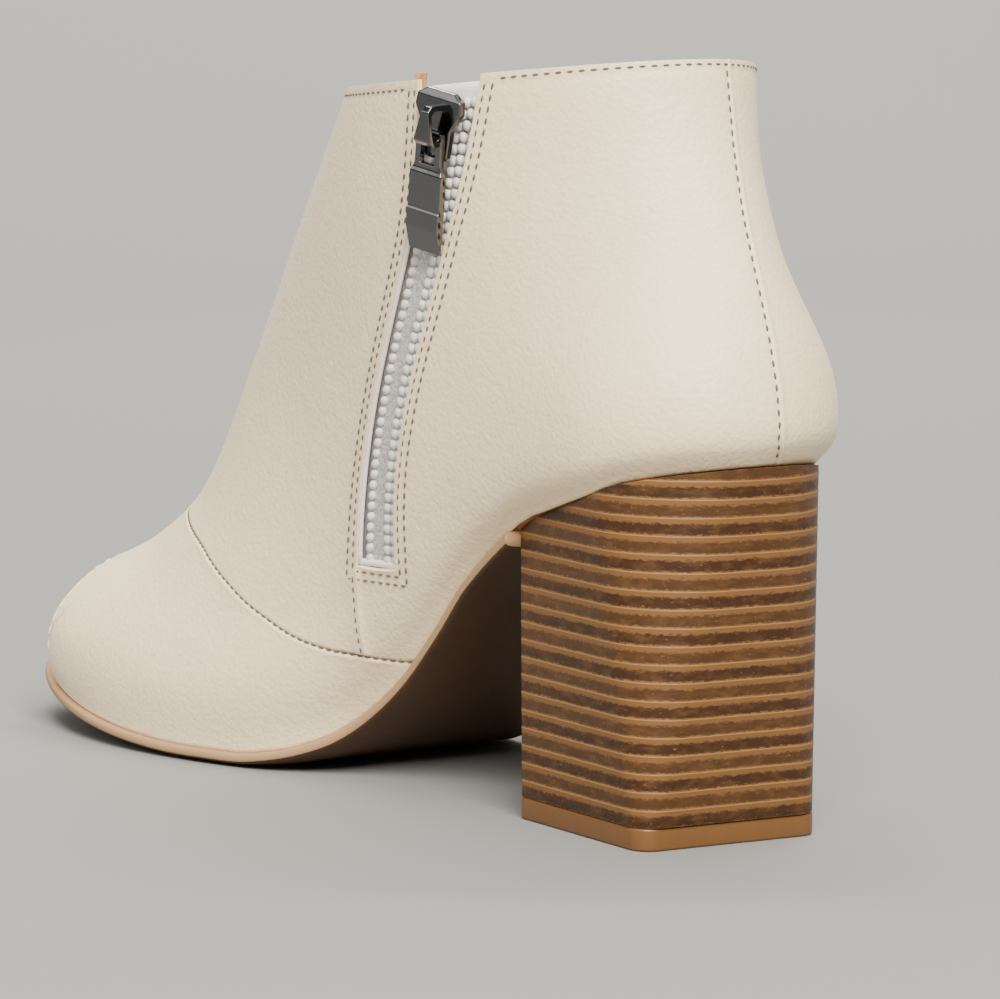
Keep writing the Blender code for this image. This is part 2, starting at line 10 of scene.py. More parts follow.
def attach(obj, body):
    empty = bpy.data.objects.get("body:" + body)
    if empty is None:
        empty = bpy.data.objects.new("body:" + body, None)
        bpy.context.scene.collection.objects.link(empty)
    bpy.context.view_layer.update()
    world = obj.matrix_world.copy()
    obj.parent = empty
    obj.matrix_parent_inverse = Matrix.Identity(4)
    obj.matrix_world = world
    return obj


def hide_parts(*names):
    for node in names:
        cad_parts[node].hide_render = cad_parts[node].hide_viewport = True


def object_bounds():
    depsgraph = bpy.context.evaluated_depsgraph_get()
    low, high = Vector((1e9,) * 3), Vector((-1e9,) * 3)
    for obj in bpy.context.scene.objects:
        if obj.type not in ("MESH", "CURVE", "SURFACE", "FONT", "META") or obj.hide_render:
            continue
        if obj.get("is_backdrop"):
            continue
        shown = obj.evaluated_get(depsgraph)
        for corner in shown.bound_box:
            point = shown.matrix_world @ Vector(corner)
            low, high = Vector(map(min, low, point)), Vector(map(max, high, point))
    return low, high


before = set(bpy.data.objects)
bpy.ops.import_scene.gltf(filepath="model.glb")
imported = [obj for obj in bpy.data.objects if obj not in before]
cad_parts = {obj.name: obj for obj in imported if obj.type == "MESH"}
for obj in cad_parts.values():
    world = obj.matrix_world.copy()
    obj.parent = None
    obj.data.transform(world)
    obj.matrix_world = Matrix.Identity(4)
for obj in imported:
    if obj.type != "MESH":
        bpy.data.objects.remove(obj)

bl_info = {
    "name": "Peep Toe Bootie Dresser",
    "version": (1, 0, 0),
    "blender": (4, 5, 0),
    "location": "3D View > Sidebar > Bootie",
    "description": "Leather, heel, sole, zip and stitches for an ankle bootie with an open toe",
    "category": "Object",
}

# Sizes of the last and its pieces, as in the part's source, in metres
SHOE_LENGTH = 0.2255
BALL_WIDTH = 0.076
HEEL_HEIGHT = 0.0730
SHAFT_HEIGHT = 0.0755
COLLAR_LENGTH = 0.097
COLLAR_WIDTH = 0.068
COLLAR_SETBACK = 0.0240
COLLAR_SWING = -0.0003
COLLAR_DROP = 0.008
COLLAR_DIP = 0.0011
WALL = 0.0018
SOLE_THICKNESS = 0.003
SOLE_LEDGE = 0.0012
TOE_SPRING = 0.0098
INSOLE_THICKNESS = 0.0025
GAP = 0.0003
BLOCK_DEPTH = 0.0425
BLOCK_WIDTH = 0.0415
BLOCK_YAW = 5.8
BLOCK_CORNER = 0.004
BLOCK_FRONT_CORNER = 0.0012
SEAT_WIDTH = 0.0515
SEAT_FRONT_WIDTH = 0.0443
SEAT_CORNER = 0.0225
SEAT_OVERHANG = 0.0078
TIP_THICKNESS = 0.0044
HEEL_SETBACK = 0.0318
PEEP_SETBACK = 0.018
PEEP_RADIUS = 0.070
PEEP_LEAN = -18.0
PEEP_TURN = 8.0
ZIP_FOOT = (0.0940, 0.0455)
ZIP_HEAD_SETBACK = 0.0620
ZIP_BOW = 0.0022
SLOT_WIDTH = 0.0112
SLOT_HEAD_WIDTH = 0.0162
SLOT_FLARE_START = 0.70
SLIDER_LENGTH = 0.0135
SLIDER_WIDTH = 0.0100
SLIDER_TAIL_WIDTH = 0.0070
SLIDER_THICKNESS = 0.0016
SLIDER_DROP = 0.0095
SLIDER_STANDOFF = 0.0006
CROWN_LENGTH = 0.0078
CROWN_WIDTH = 0.0026
CROWN_HEIGHT = 0.0036
CROWN_BAND = 0.0010
PULL_THICKNESS = 0.0014
PULL_LENGTH = 0.0240
PULL_WIDTH = 0.0084
PULL_FRAME_LENGTH = 0.0085
PULL_FRAME_WIDTH = 0.0066
PULL_RAIL = 0.0014
PULL_REST = 3.0
PULL_LIP_START = 0.0192
PULL_STEP_START = 0.0155
PULL_PLATE_START = 0.0074

PROFILE = (
    (0.000, 1.010, 0.00), (0.080, 0.957, 0.00), (0.133, 0.900, 0.00), (0.177, 0.855, 0.00),
    (0.230, 0.797, 0.00), (0.320, 0.604, 0.00), (0.370, 0.445, 0.00), (0.430, 0.262, 0.00),
    (0.500, 0.094, 0.00), (0.540, 0.035, 0.00), (0.580, 0.006, 0.00), (0.603, 0.000, 0.00),
    (0.662, 0.000, 0.00), (0.710, 0.000, 0.05), (0.770, 0.000, 0.18), (0.850, 0.000, 0.44),
    (0.930, 0.000, 0.73), (1.000, 0.000, 1.00),
)
SWING = (
    (0.00, 0.020), (0.12, -0.015), (0.27, -0.090), (0.40, -0.170), (0.47, -0.190), (0.53, -0.165),
    (0.60, -0.105), (0.67, -0.055), (0.80, 0.030), (0.91, 0.130), (1.00, 0.210),
)
WIDTHS = (
    (0.00, 1.30, 1.31, 0.96, 0.84, 1.00),
    (0.15, 1.17, 1.21, 0.94, 0.82, 1.00),
    (0.30, 1.16, 1.18, 0.99, 0.82, 1.00),
    (0.45, 0.905, 0.955, 0.86, 0.83, 1.00),
    (0.52, 0.67, 0.78, 0.81, 0.85, 1.00),
    (0.60, 0.65, 0.78, 0.83, 0.86, 1.00),
    (0.70, 0.80, 0.95, 0.97, 0.88, 1.00),
    (0.85, 1.23, 1.37, 1.33, 0.90, 0.97),
    (1.00, 1.37, 1.47, 1.38, 0.80, 0.90),
)
WIDTH_RISES = (0.0, 0.09, 0.25, 0.55, 1.0)
RIDGE = (
    (0.00, 1.000, 0.000), (0.04, 1.020, 0.040), (0.10, 0.994, 0.102), (0.18, 0.897, 0.160),
    (0.30, 0.721, 0.229), (0.42, 0.568, 0.326), (0.60, 0.398, 0.545), (0.80, 0.207, 0.782),
    (1.00, 0.000, 1.000),
)
BACK = (
    (0.00, 0.00, 0.000), (0.07, -0.18, 0.060), (0.14, -0.21, 0.130), (0.25, -0.10, 0.250),
    (0.40, 0.13, 0.400), (0.60, 0.47, 0.596), (0.80, 0.79, 0.797), (1.00, 1.00, 1.000),
)
BACK_FEATHER_SHARE = 0.0165

# Seam between vamp and quarters: station and rise
VAMP_SEAM = ((0.0, 0.386), (0.08, 0.383), (0.15, 0.374), (0.22, 0.362), (0.27, 0.349), (0.303, 0.334),
             (0.36, 0.292), (0.411, 0.242), (0.45, 0.203), (0.493, 0.149), (0.54, 0.060), (0.564, 0.0))
# Seam that runs down from the front edge of the zip's foot: setback and height
ZIP_SEAM = ((0.0996, 0.0436), (0.1002, 0.0384), (0.1006, 0.0332), (0.1008, 0.0268))

# Back seam: rise and station, which leans to the outer side near the collar
BACK_SEAM = ((0.0, 1.012), (0.08, 0.9974), (0.153, 0.9953), (0.253, 0.9965), (0.361, 0.9991),
             (0.484, 1.0029), (0.62, 1.0120), (0.754, 1.0310), (0.851, 1.0421), (0.925, 1.0470),
             (1.0, 1.0520))

FLOOR_TO_FEATHER = SOLE_THICKNESS + GAP
TOE_SETBACK = SHOE_LENGTH - SOLE_LEDGE
SEAT_SETBACK = SHOE_LENGTH * BACK_FEATHER_SHARE
COLLAR_FRONT = COLLAR_SETBACK + COLLAR_LENGTH
COLLAR_BACK_HEIGHT = HEEL_HEIGHT + SHAFT_HEIGHT
MM = 0.001
# Reach of the steps that measure slopes on the last, in stations and rises
STEP = 0.004
# Distance from the foot's ends at which its middle line stops
END_REACH = 0.020

# Distances of the rows that crowd at the leather's borders
RIM = (0.0, 0.3 * MM, 0.6 * MM, 1.0 * MM, 1.5 * MM, 2.1 * MM, 2.8 * MM, 3.6 * MM, 4.6 * MM)
# Distances in millimetres of the columns that crowd at the slot and at the back seam
SIDE_STEPS = (0.0, 0.3, 0.7, 1.1, 1.6, 2.2, 2.8, 3.4, 4.2, 5.2)
# Width of the rounding at the leather's rim
RIM_ROUND = 0.28 * MM
# How far the vamp runs on under the quarters, and how deep it lies there
UNDERLAP = ((0.25 * MM, 1.02 * MM), (2.6 * MM, 1.05 * MM))
# Least room for the rows between the vamp seam and the level of the zip's foot, and their share of the side
FOOT_ROOM = 7.5 * MM
FOOT_SHARE = 0.16
# How far to each side a seam shapes the leather
SEAM_REACH = 6 * MM
# How far the lining's slot is wider than the leather's, in millimetres, and how many rows it goes lower
LINING_BACK, LINING_DOWN = 2.8, 2

# Rows of stitches: beside the zip, by their distance from the slot, and beside the collar, peep and seams
ZIP_ROWS = (1.2 * MM, 3.0 * MM)
COLLAR_ROW = 2.0 * MM
COLLAR_ROW_END = 4.2 * MM
PEEP_ROW = 1.6 * MM
BACK_ROW = 0.6 * MM
ZIP_SEAM_ROW = 1.5 * MM
SEAM_PITCH = 0.0019
PEEP_PITCH = 3.2 * MM

# Zip: tape, cord in front of the slot, meshed coil and its lines of loops, by place across and half width
TAPE_THICKNESS = 0.6 * MM
TAPE_REACH = 3 * MM
CORD_RADIUS = 0.45 * MM
TEETH_OUT = -1.75 * MM
COIL_HALF = 5.0 * MM
COIL_PITCH = 0.62 * MM
BEAD_LINES = ((-4.3 * MM, 1.05 * MM), (-2.3 * MM, 1.05 * MM), (3.1 * MM, 0.95 * MM))
BEAD_PITCH = 0.0023
BEAD_DEPTH = 0.85 * MM
BEAD_OUT = 0.40 * MM
BEAD_TILT = -18
PARTED_FROM = SLIDER_DROP + 3 * MM

# Fine line at each lift of the heel: share of a lift from its top, and millimetres out
LIFT_LINE = ((-0.5, 0.0), (-0.20, 0.02), (-0.09, 0.07), (-0.02, 0.07), (0.03, -0.04), (0.15, 0.0))

# Stage: way the camera looks along the floor, the sweep's measures, the lamps and the photograph's camera
VIEW = Vector((-0.612, -0.784, 0.0)).normalized()
SWEEP_WIDTH, SWEEP_NEAR, SWEEP_FLAT, SWEEP_RADIUS, SWEEP_TALL = 8.0, 3.0, 1.6, 0.7, 1.8
SHOE_MIDDLE = Vector((0.0, -0.06, 0.06))
WALL_MIDDLE = VIEW * (SWEEP_FLAT + SWEEP_RADIUS) + Vector((0.0, 0.0, 1.0))
LAMPS = (
    ("key", (0.55, 0.9, 1.1), SHOE_MIDDLE, (0.8, 0.8), 58.0),
    ("fill", (1.15, -0.25, 0.75), SHOE_MIDDLE, (1.1, 0.9), 6.5),
    ("top", (-0.3, -0.1, 1.5), SHOE_MIDDLE, (1.4, 1.4), 9.0),
    ("backdrop", VIEW * 1.0 + Vector((0.0, 0.0, 2.2)), WALL_MIDDLE, (2.5, 0.8), 165.0),
)
CAMERA_AZIMUTH, CAMERA_ELEVATION, CAMERA_ROLL = 141.91, 6.35, 0.74
CAMERA_DISTANCE = 0.9567
CAMERA_TARGET = Vector((-0.00299, -0.0582, 0.05812))
CAMERA_LENS = 169.9


class BootieSizes(bpy.types.PropertyGroup):
    """Sizes of the dressing that a user may change."""
    leather: bpy.props.FloatProperty(
        name="Leather", description="Thickness of the outer leather", default=0.00095, unit="LENGTH",
        precision=5)
    lining: bpy.props.FloatProperty(
        name="Lining", description="Thickness of the lining", default=0.0007, unit="LENGTH", precision=5)
    stitch: bpy.props.FloatProperty(
        name="Stitch", description="Length from one stitch to the next", default=0.0023, unit="LENGTH",
        precision=5)
    thread: bpy.props.FloatProperty(
        name="Thread", description="Width of the sewing thread", default=0.00050, unit="LENGTH", precision=5)
    lift: bpy.props.FloatProperty(
        name="Lift", description="Height of one lift of the stacked heel", default=0.00348, unit="LENGTH",
        precision=5)


class BootieColours(bpy.types.PropertyGroup):
    """Colours of the dressing that a user may change."""
    leather: bpy.props.FloatVectorProperty(
        name="Leather", description="Cream of the outer leather", subtype="COLOR", size=3,
        default=(0.97, 0.79, 0.50), min=0.0, max=1.0)
    lining: bpy.props.FloatVectorProperty(
        name="Lining", description="Orange tan of the lining", subtype="COLOR", size=3,
        default=(0.56, 0.27, 0.10), min=0.0, max=1.0)
    edge: bpy.props.FloatVectorProperty(
        name="Sole edge", description="Tan of the sole's edge", subtype="COLOR", size=3,
        default=(0.125, 0.058, 0.019), min=0.0, max=1.0)
    # Darker brown of the sole's downward faces: painted shade of the underside, also the tint of the sole's
    # and top piece's clouds
    underside_painted_shade: bpy.props.FloatVectorProperty(
        name="Underside", description="Brown of the sole's underside", subtype="COLOR", size=3,
        default=(0.080, 0.040, 0.017), min=0.0, max=1.0)
    lift_pale: bpy.props.FloatVectorProperty(
        name="Pale lift", description="Pale brown of the heel's lifts", subtype="COLOR", size=3,
        default=(0.19, 0.088, 0.027), min=0.0, max=1.0)
    lift_dark: bpy.props.FloatVectorProperty(
        name="Dark lift", description="Dark brown of the heel's lifts", subtype="COLOR", size=3,
        default=(0.040, 0.0155, 0.005), min=0.0, max=1.0)
    tip: bpy.props.FloatVectorProperty(
        name="Top piece", description="Tan of the piece under the heel", subtype="COLOR", size=3,
        default=(0.16, 0.068, 0.017), min=0.0, max=1.0)
    thread: bpy.props.FloatVectorProperty(
        name="Thread", description="Taupe of the sewing thread", subtype="COLOR", size=3,
        default=(0.085, 0.062, 0.045), min=0.0, max=1.0)


# The last

def steepness(rows, column, spot, level_ends):
    """Slope of a table's column at one of its rows."""
    last = len(rows) - 1
    if level_ends and spot in (0, last):
        return 0.0
    low = max(spot - 1, 0)
    high = min(spot + 1, last)
    return (rows[high][column] - rows[low][column]) / (rows[high][0] - rows[low][0])


def blend(rows, column, at, level_ends=False):
    """Smooth curve through one column of a table whose first column rises."""
    spot = 0
    while spot < len(rows) - 2 and at > rows[spot + 1][0]:
        spot += 1
    start, end = rows[spot], rows[spot + 1]
    span = end[0] - start[0]
    share = (at - start[0]) / span
    out_slope = steepness(rows, column, spot, level_ends) * span
    in_slope = steepness(rows, column, spot + 1, level_ends) * span
    square, cube = share ** 2, share ** 3
    return ((2 * cube - 3 * square + 1) * start[column] + (cube - 2 * square + share) * out_slope
            + (3 * square - 2 * cube) * end[column] + (cube - square) * in_slope)


@lru_cache(maxsize=None)
def feather_height(setback):
    """Height of the upper's lower edge at a distance from the back of the shoe."""
    share = setback / SHOE_LENGTH
    rise = max(blend(PROFILE, 1, share), 0.0) * (HEEL_HEIGHT - FLOOR_TO_FEATHER)
    return FLOOR_TO_FEATHER + rise + max(blend(PROFILE, 2, share), 0.0) * TOE_SPRING


def slant(setback):
    """How much longer a slab is upright than square to the slope of the feather line."""
    reach = SHOE_LENGTH / 200
    slope = (feather_height(setback + reach) - feather_height(setback - reach)) / (2 * reach)
    return math.hypot(1.0, slope)


def collar_height(setback):
    """Height of the collar at a distance from the back of the shoe."""
    share = (setback - COLLAR_SETBACK) / COLLAR_LENGTH
    return COLLAR_BACK_HEIGHT - COLLAR_DROP * share - 4 * COLLAR_DIP * share * (1 - share)


@lru_cache(maxsize=None)
def station_lines(station):
    """Share of the front, and the feather's and collar's setback and height, at a station."""
    back = (1 - math.cos(math.pi * station)) / 2
    low = SEAT_SETBACK * back + TOE_SETBACK * (1 - back)
    high = COLLAR_SETBACK * back + COLLAR_FRONT * (1 - back)
    return 1 - back, low, feather_height(low), high, collar_height(high)


@lru_cache(maxsize=None)
def rise_lines(rise):
    """Setback and height of the front ridge and of the back seam at a rise."""
    toe, top = feather_height(TOE_SETBACK), collar_height(COLLAR_FRONT)
    seat, back = feather_height(SEAT_SETBACK), collar_height(COLLAR_SETBACK)
    return (COLLAR_FRONT + blend(RIDGE, 1, rise) * (TOE_SETBACK - COLLAR_FRONT),
            toe + blend(RIDGE, 2, rise) * (top - toe),
            SEAT_SETBACK + blend(BACK, 1, rise) * (COLLAR_SETBACK - SEAT_SETBACK),
            seat + blend(BACK, 2, rise) * (back - seat))


def side_view(station, rise):
    """Setback and height of a point of the last, blended from its four border lines."""
    front, low, low_z, high, high_z = station_lines(station)
    ridge, ridge_z, seam, seam_z = rise_lines(rise)
    _, toe, toe_z, top, top_z = station_lines(0.0)
    _, seat, seat_z, back, back_z = station_lines(1.0)
    rest = 1 - front
    setback = (low * (1 - rise) + high * rise + ridge * front + seam * rest
               - (toe * front + seat * rest) * (1 - rise) - (top * front + back * rest) * rise)
    height = (low_z * (1 - rise) + high_z * rise + ridge_z * front + seam_z * rest
              - (toe_z * front + seat_z * rest) * (1 - rise) - (top_z * front + back_z * rest) * rise)
    return setback, height


@lru_cache(maxsize=None)
def width_rows(station):
    """Half widths of the loops at a station, by their rise."""
    columns = [BALL_WIDTH / 2 * blend(WIDTHS, column, station, True) for column in range(1, 5)]
    columns.append(COLLAR_WIDTH / 2 * blend(WIDTHS, 5, station, True))
    return tuple(zip(WIDTH_RISES, columns))


def last_point(around, rise):
    """Point of the upper's outer face; stations past 1 run back to the toe on the outer side."""
    turn = around % 2.0
    station, side = (turn, 1) if turn <= 1.0 else (2.0 - turn, -1)
    setback, height = side_view(station, rise)
    straight = 1 - rise * rise * (3 - 2 * rise)
    middle = blend(SWING, 1, setback / SHOE_LENGTH) * BALL_WIDTH / 2 * straight
    middle += COLLAR_SWING * (1 - straight)
    across = math.sin(math.pi * station) * blend(width_rows(station), 1, rise)
    return Vector((middle + side * across, HEEL_SETBACK - setback, height))


def last_normal(around, rise):
    """Outward direction of the upper's outer face."""
    low, high = max(rise - STEP, 0.0), min(rise + STEP, 1.0)
    along = last_point(around + STEP, rise) - last_point(around - STEP, rise)
    upward = last_point(around, high) - last_point(around, low)
    return along.cross(upward).normalized()


def over(around, rise, out):
    """Point at a distance outside the upper's outer face."""
    return last_point(around, rise) + last_normal(around, rise) * out


def rates(around, rise):
    """Metres for one whole station, and metres for one whole rise, at a place on the last."""
    low, high = max(rise - STEP, 0.0), min(rise + STEP, 1.0)
    along = (last_point(around + STEP, rise) - last_point(around - STEP, rise)).length / (2 * STEP)
    upward = (last_point(around, high) - last_point(around, low)).length / (high - low)
    return along, upward


@lru_cache(maxsize=None)
def find_on_side(setback, height):
    """Station and rise of the inner side's point with this setback and height."""
    station = 0.55
    low = feather_height(setback)
    rise = (height - low) / (collar_height(setback) - low)
    step = 0.001
    for _ in range(12):
        here = side_view(station, rise)
        by_station = [(a - b) / step for a, b in zip(side_view(station + step, rise), here)]
        by_rise = [(a - b) / step for a, b in zip(side_view(station, rise + step), here)]
        miss = (setback - here[0], height - here[1])
        area = by_station[0] * by_rise[1] - by_station[1] * by_rise[0]
        station += (miss[0] * by_rise[1] - miss[1] * by_rise[0]) / area
        rise += (by_station[0] * miss[1] - by_station[1] * miss[0]) / area
    return station, rise


def middle_of(around):
    """Point of the foot's middle line beside a station of the feather line."""
    turn = around % 2.0
    setback = side_view(min(turn, 2.0 - turn), 0.0)[0]
    setback = min(max(setback, END_REACH), SHOE_LENGTH - END_REACH)
    return Vector((blend(SWING, 1, setback / SHOE_LENGTH) * BALL_WIDTH / 2, HEEL_SETBACK - setback, 0.0))


def outline(around, grow):
    """Point of the feather line seen from above, moved out by a distance."""
    way = last_point(around + STEP, 0.0) - last_point(around - STEP, 0.0)
    outward = Vector((way.y, -way.x, 0.0)).normalized()
    point = last_point(around, 0.0)
    return Vector((point.x, point.y, 0.0)) + outward * grow


def zip_line(share):
    """Setback and height of the zip's middle line, from its foot, 0, to the collar, 1."""
    head = collar_height(ZIP_HEAD_SETBACK)
    bow = ZIP_BOW * math.sin(2 * math.pi * share)
    return (ZIP_FOOT[0] + share * (ZIP_HEAD_SETBACK - ZIP_FOOT[0]) + bow,
            ZIP_FOOT[1] + share * (head - ZIP_FOOT[1]))


def zip_spot(share, across):
    """Setback and height beside the zip's middle line, following the collar near the top."""
    setback, height = zip_line(share)
    bend = collar_height(setback + across) - collar_height(setback)
    return setback + across, height + bend * share


def zip_length():
    """Length of the zip's middle line in the side view."""
    return math.dist(zip_line(0.0), zip_line(1.0))


def slot_half(share):
    """Half the width of the slot, which opens towards the collar."""
    flare = max(share - SLOT_FLARE_START, 0.0) / (1 - SLOT_FLARE_START)
    return (SLOT_WIDTH + flare * (SLOT_HEAD_WIDTH - SLOT_WIDTH)) / 2


def beside_zip(share, across, out):
    """Point over the inner side, by its place along and across the zip."""
    station, rise = find_on_side(*zip_spot(share, across))
    return last_point(station, rise) + last_normal(station, min(rise, 0.995)) * out


def read_line(table, at):
    """Straight interpolation in pairs whose first number rises."""
    if at <= table[0][0]:
        return table[0][1]
    for low, high in zip(table, table[1:]):
        if at <= high[0]:
            return low[1] + (high[1] - low[1]) * (at - low[0]) / (high[0] - low[0])
    return table[-1][1]


@lru_cache(maxsize=None)
def zip_edges():
    """Stations of the slot's front and back edge by rise, and the rises of its foot."""
    front = [find_on_side(*spot) for spot in reversed(ZIP_SEAM)]
    shares = [count / 24 for count in range(25)]
    front += [find_on_side(*zip_spot(share, slot_half(share))) for share in shares]
    back = [find_on_side(*zip_spot(share, -slot_half(share))) for share in shares]
    front = [(rise, station) for station, rise in front]
    back = [(rise, station) for station, rise in back]
    gap = back[0][1] - read_line(front, back[0][0])
    below = [(rise, station + gap) for rise, station in front if rise < back[0][0] - 0.01]
    return tuple(front), tuple(below + back), front[len(ZIP_SEAM)][0], back[0][0]


@lru_cache(maxsize=None)
def seam_rise(around):
    """Rise of the vamp seam, or of the feather line behind it."""
    turn = around % 2.0
    station = min(turn, 2.0 - turn)
    if station >= VAMP_SEAM[-1][0]:
        return 0.0
    return max(blend(VAMP_SEAM, 1, station), 0.0)


def in_peep(point):
    """Whether a point lies in the leaning drum that opens the toe."""
    middle, axis = peep_axis()
    arm = point - middle
    return (arm - axis * arm.dot(axis)).length < PEEP_RADIUS


@lru_cache(maxsize=None)
def peep_axis():
    """Middle and direction of the drum that opens the toe."""
    turn = Matrix.Rotation(math.radians(PEEP_TURN), 3, "Z")
    lean = Matrix.Rotation(-math.radians(PEEP_LEAN), 3, "X")
    middle = last_point(0.0, 0.0) + turn @ Vector((0.0, PEEP_SETBACK - PEEP_RADIUS, 0.0))
    return middle, turn @ lean @ Vector((0.0, 0.0, 1.0))


@lru_cache(maxsize=None)
def peep_rise(around):
    """Rise of the peep edge, or of the feather line beside it."""
    if not in_peep(last_point(around, 0.0)):
        return 0.0
    low, high = 0.0, 0.35
    for _ in range(22):
        middle = (low + high) / 2
        low, high = (middle, high) if in_peep(last_point(around, middle)) else (low, middle)
    return high


@lru_cache(maxsize=None)
def peep_end(side):
    """Station at which the peep edge meets the feather line, on one side."""
    low, high = 0.0, 0.4
    for _ in range(22):
        middle = (low + high) / 2
        low, high = (middle, high) if in_peep(last_point(side * middle, 0.0)) else (low, middle)
    return side * high


# Meshes

def sheet(columns, rows, place):
    """Grid of faces whose corners a function places by column and row."""
    mesh = bmesh.new()
    bmesh.ops.create_grid(mesh, x_segments=columns, y_segments=rows, size=0.5)
    for vertex in mesh.verts:
        vertex.co = place(round((vertex.co.x + 0.5) * columns), round((vertex.co.y + 0.5) * rows))
    return mesh


def weld(mesh, distance=0.00001):
    """Merge corners that meet, drop faces without area and turn the rest outward."""
    bmesh.ops.remove_doubles(mesh, verts=mesh.verts, dist=distance)
    bmesh.ops.dissolve_degenerate(mesh, edges=mesh.edges, dist=distance / 10)
    bmesh.ops.recalc_face_normals(mesh, faces=mesh.faces)


def close_up(mesh):
    """Cap a tube's open ends, in triangles where they have many corners, and turn all faces outward."""
    bmesh.ops.holes_fill(mesh, edges=[edge for edge in mesh.edges if edge.is_boundary], sides=0)
    bmesh.ops.triangulate(mesh, faces=[face for face in mesh.faces if len(face.verts) > 12])
    bmesh.ops.recalc_face_normals(mesh, faces=mesh.faces)


def new_object(name, mesh, material, smooth=True):
    """Object in the scene from a bmesh, with one material."""
    data = bpy.data.meshes.new(name)
    mesh.to_mesh(data)
    mesh.free()
    data.materials.append(get(material))
    for polygon in data.polygons:
        polygon.use_smooth = smooth
    item = bpy.data.objects.new(name, data)
    bpy.context.scene.collection.objects.link(item)
    return item


def finish_piece(name, mesh, material, stands_for=(), body="shoe", smooth=True):
    """Piece from a bmesh that rides on a body and may stand for CAD nodes."""
    piece = new_object(name, mesh, material, smooth)
    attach(piece, body)
    if stands_for:
        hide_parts(*stands_for)
    return piece


def thicken(piece, thickness, rim):
    """Give a sheet its thickness inward, and round its rim."""
    solid = piece.modifiers.new("thickness", "SOLIDIFY")
    solid.thickness = thickness
    solid.offset = -1.0
    solid.use_quality_normals = True
    soften(piece, rim, 50)


def soften(piece, width, angle):
    """Rounded sharp edges."""
    edge = piece.modifiers.new("soft edges", "BEVEL")
    edge.width = width
    edge.segments = 3
    edge.limit_method = "ANGLE"
    edge.angle_limit = math.radians(angle)
    edge.harden_normals = False


def dip(distance, depth, width):
    """Shallow groove along a line, by the distance from it."""
    return -depth * math.exp(-(distance / width) ** 2)


# Materials

def node_group(name, inputs, outputs):
    """Empty shader group with named sockets: its wiring, what it is given and what it results in."""
    group = bpy.data.node_groups.new(name, "ShaderNodeTree")
    for label, kind, value in inputs:
        socket = group.interface.new_socket(name=label, in_out="INPUT", socket_type=kind)
        if value is not None:
            socket.default_value = value
    for label, kind in outputs:
        group.interface.new_socket(name=label, in_out="OUTPUT", socket_type=kind)
    given, result = group.nodes.new("NodeGroupInput"), group.nodes.new("NodeGroupOutput")
    return Wiring(group), given.outputs, result.inputs


class Wiring:
    """Short calls for making and joining nodes of one tree."""

    def __init__(self, tree):
        self.tree = tree

    def add(self, kind, **values):
        """Node with its settings."""
        node = self.tree.nodes.new(kind)
        for label, value in values.items():
            setattr(node, label, value)
        return node

    def put(self, value, socket):
        """Join an output to a socket, or set the socket's number."""
        if isinstance(value, bpy.types.NodeSocket):
            self.tree.links.new(value, socket)
        elif socket.type == "RGBA" and len(value) == 3:
            socket.default_value = (*value, 1.0)
        else:
            socket.default_value = value

    def fill(self, node, **values):
        """Join or set several of a node's named inputs."""
        for label, value in values.items():
            self.put(value, node.inputs[label.replace("_", " ")])
        return node

    def math(self, operation, *values):
        """Math node and its result."""
        node = self.add("ShaderNodeMath", operation=operation)
        for value, socket in zip(values, node.inputs):
            self.put(value, socket)
        return node.outputs[0]

    def times(self, one, other):
        """Product of two values."""
        return self.math("MULTIPLY", one, other)

    def plus(self, one, other):
        """Sum of two values."""
        return self.math("ADD", one, other)

    def noise(self, vector, scale, detail=2.0, roughness=0.5):
        """Noise texture's value."""
        node = self.add("ShaderNodeTexNoise")
        return self.fill(node, Vector=vector, Scale=scale, Detail=detail, Roughness=roughness).outputs["Fac"]

    def cells(self, vector, scale, feature):
        """Voronoi texture's distance."""
        node = self.add("ShaderNodeTexVoronoi", feature=feature)
        return self.fill(node, Vector=vector, Scale=scale).outputs["Distance"]

    def ramp(self, value, low, high, start=0.0, end=1.0):
        """Smooth step from one number to another."""
        node = self.add("ShaderNodeMapRange", interpolation_type="SMOOTHSTEP")
        self.fill(node, Value=value, From_Min=low, From_Max=high, To_Min=start, To_Max=end)
        return node.outputs["Result"]

    def mix(self, share, one, other):
        """Mix of two colours."""
        node = self.add("ShaderNodeMix", data_type="RGBA")
        for value, spot in ((share, 0), (one, 6), (other, 7)):
            self.put(value, node.inputs[spot])
        return node.outputs[2]

    def bump(self, height, distance, strength):
        """Bump node's normal."""
        node = self.add("ShaderNodeBump")
        return self.fill(node, Height=height, Distance=distance, Strength=strength).outputs["Normal"]

    def group(self, name, **values):
        """Outputs of a group node with its values."""
        node = self.add("ShaderNodeGroup", node_tree=bpy.data.node_groups[name])
        return self.fill(node, **values).outputs


def new_material(name, **plain):
    """Principled material: its wiring, its shader's inputs and the object coordinates."""
    material = bpy.data.materials.new(name)
    material.use_nodes = True
    wires = Wiring(material.node_tree)
    shader = wires.fill(material.node_tree.nodes["Principled BSDF"], **plain)
    return wires, shader.inputs, wires.add("ShaderNodeTexCoord").outputs["Object"]


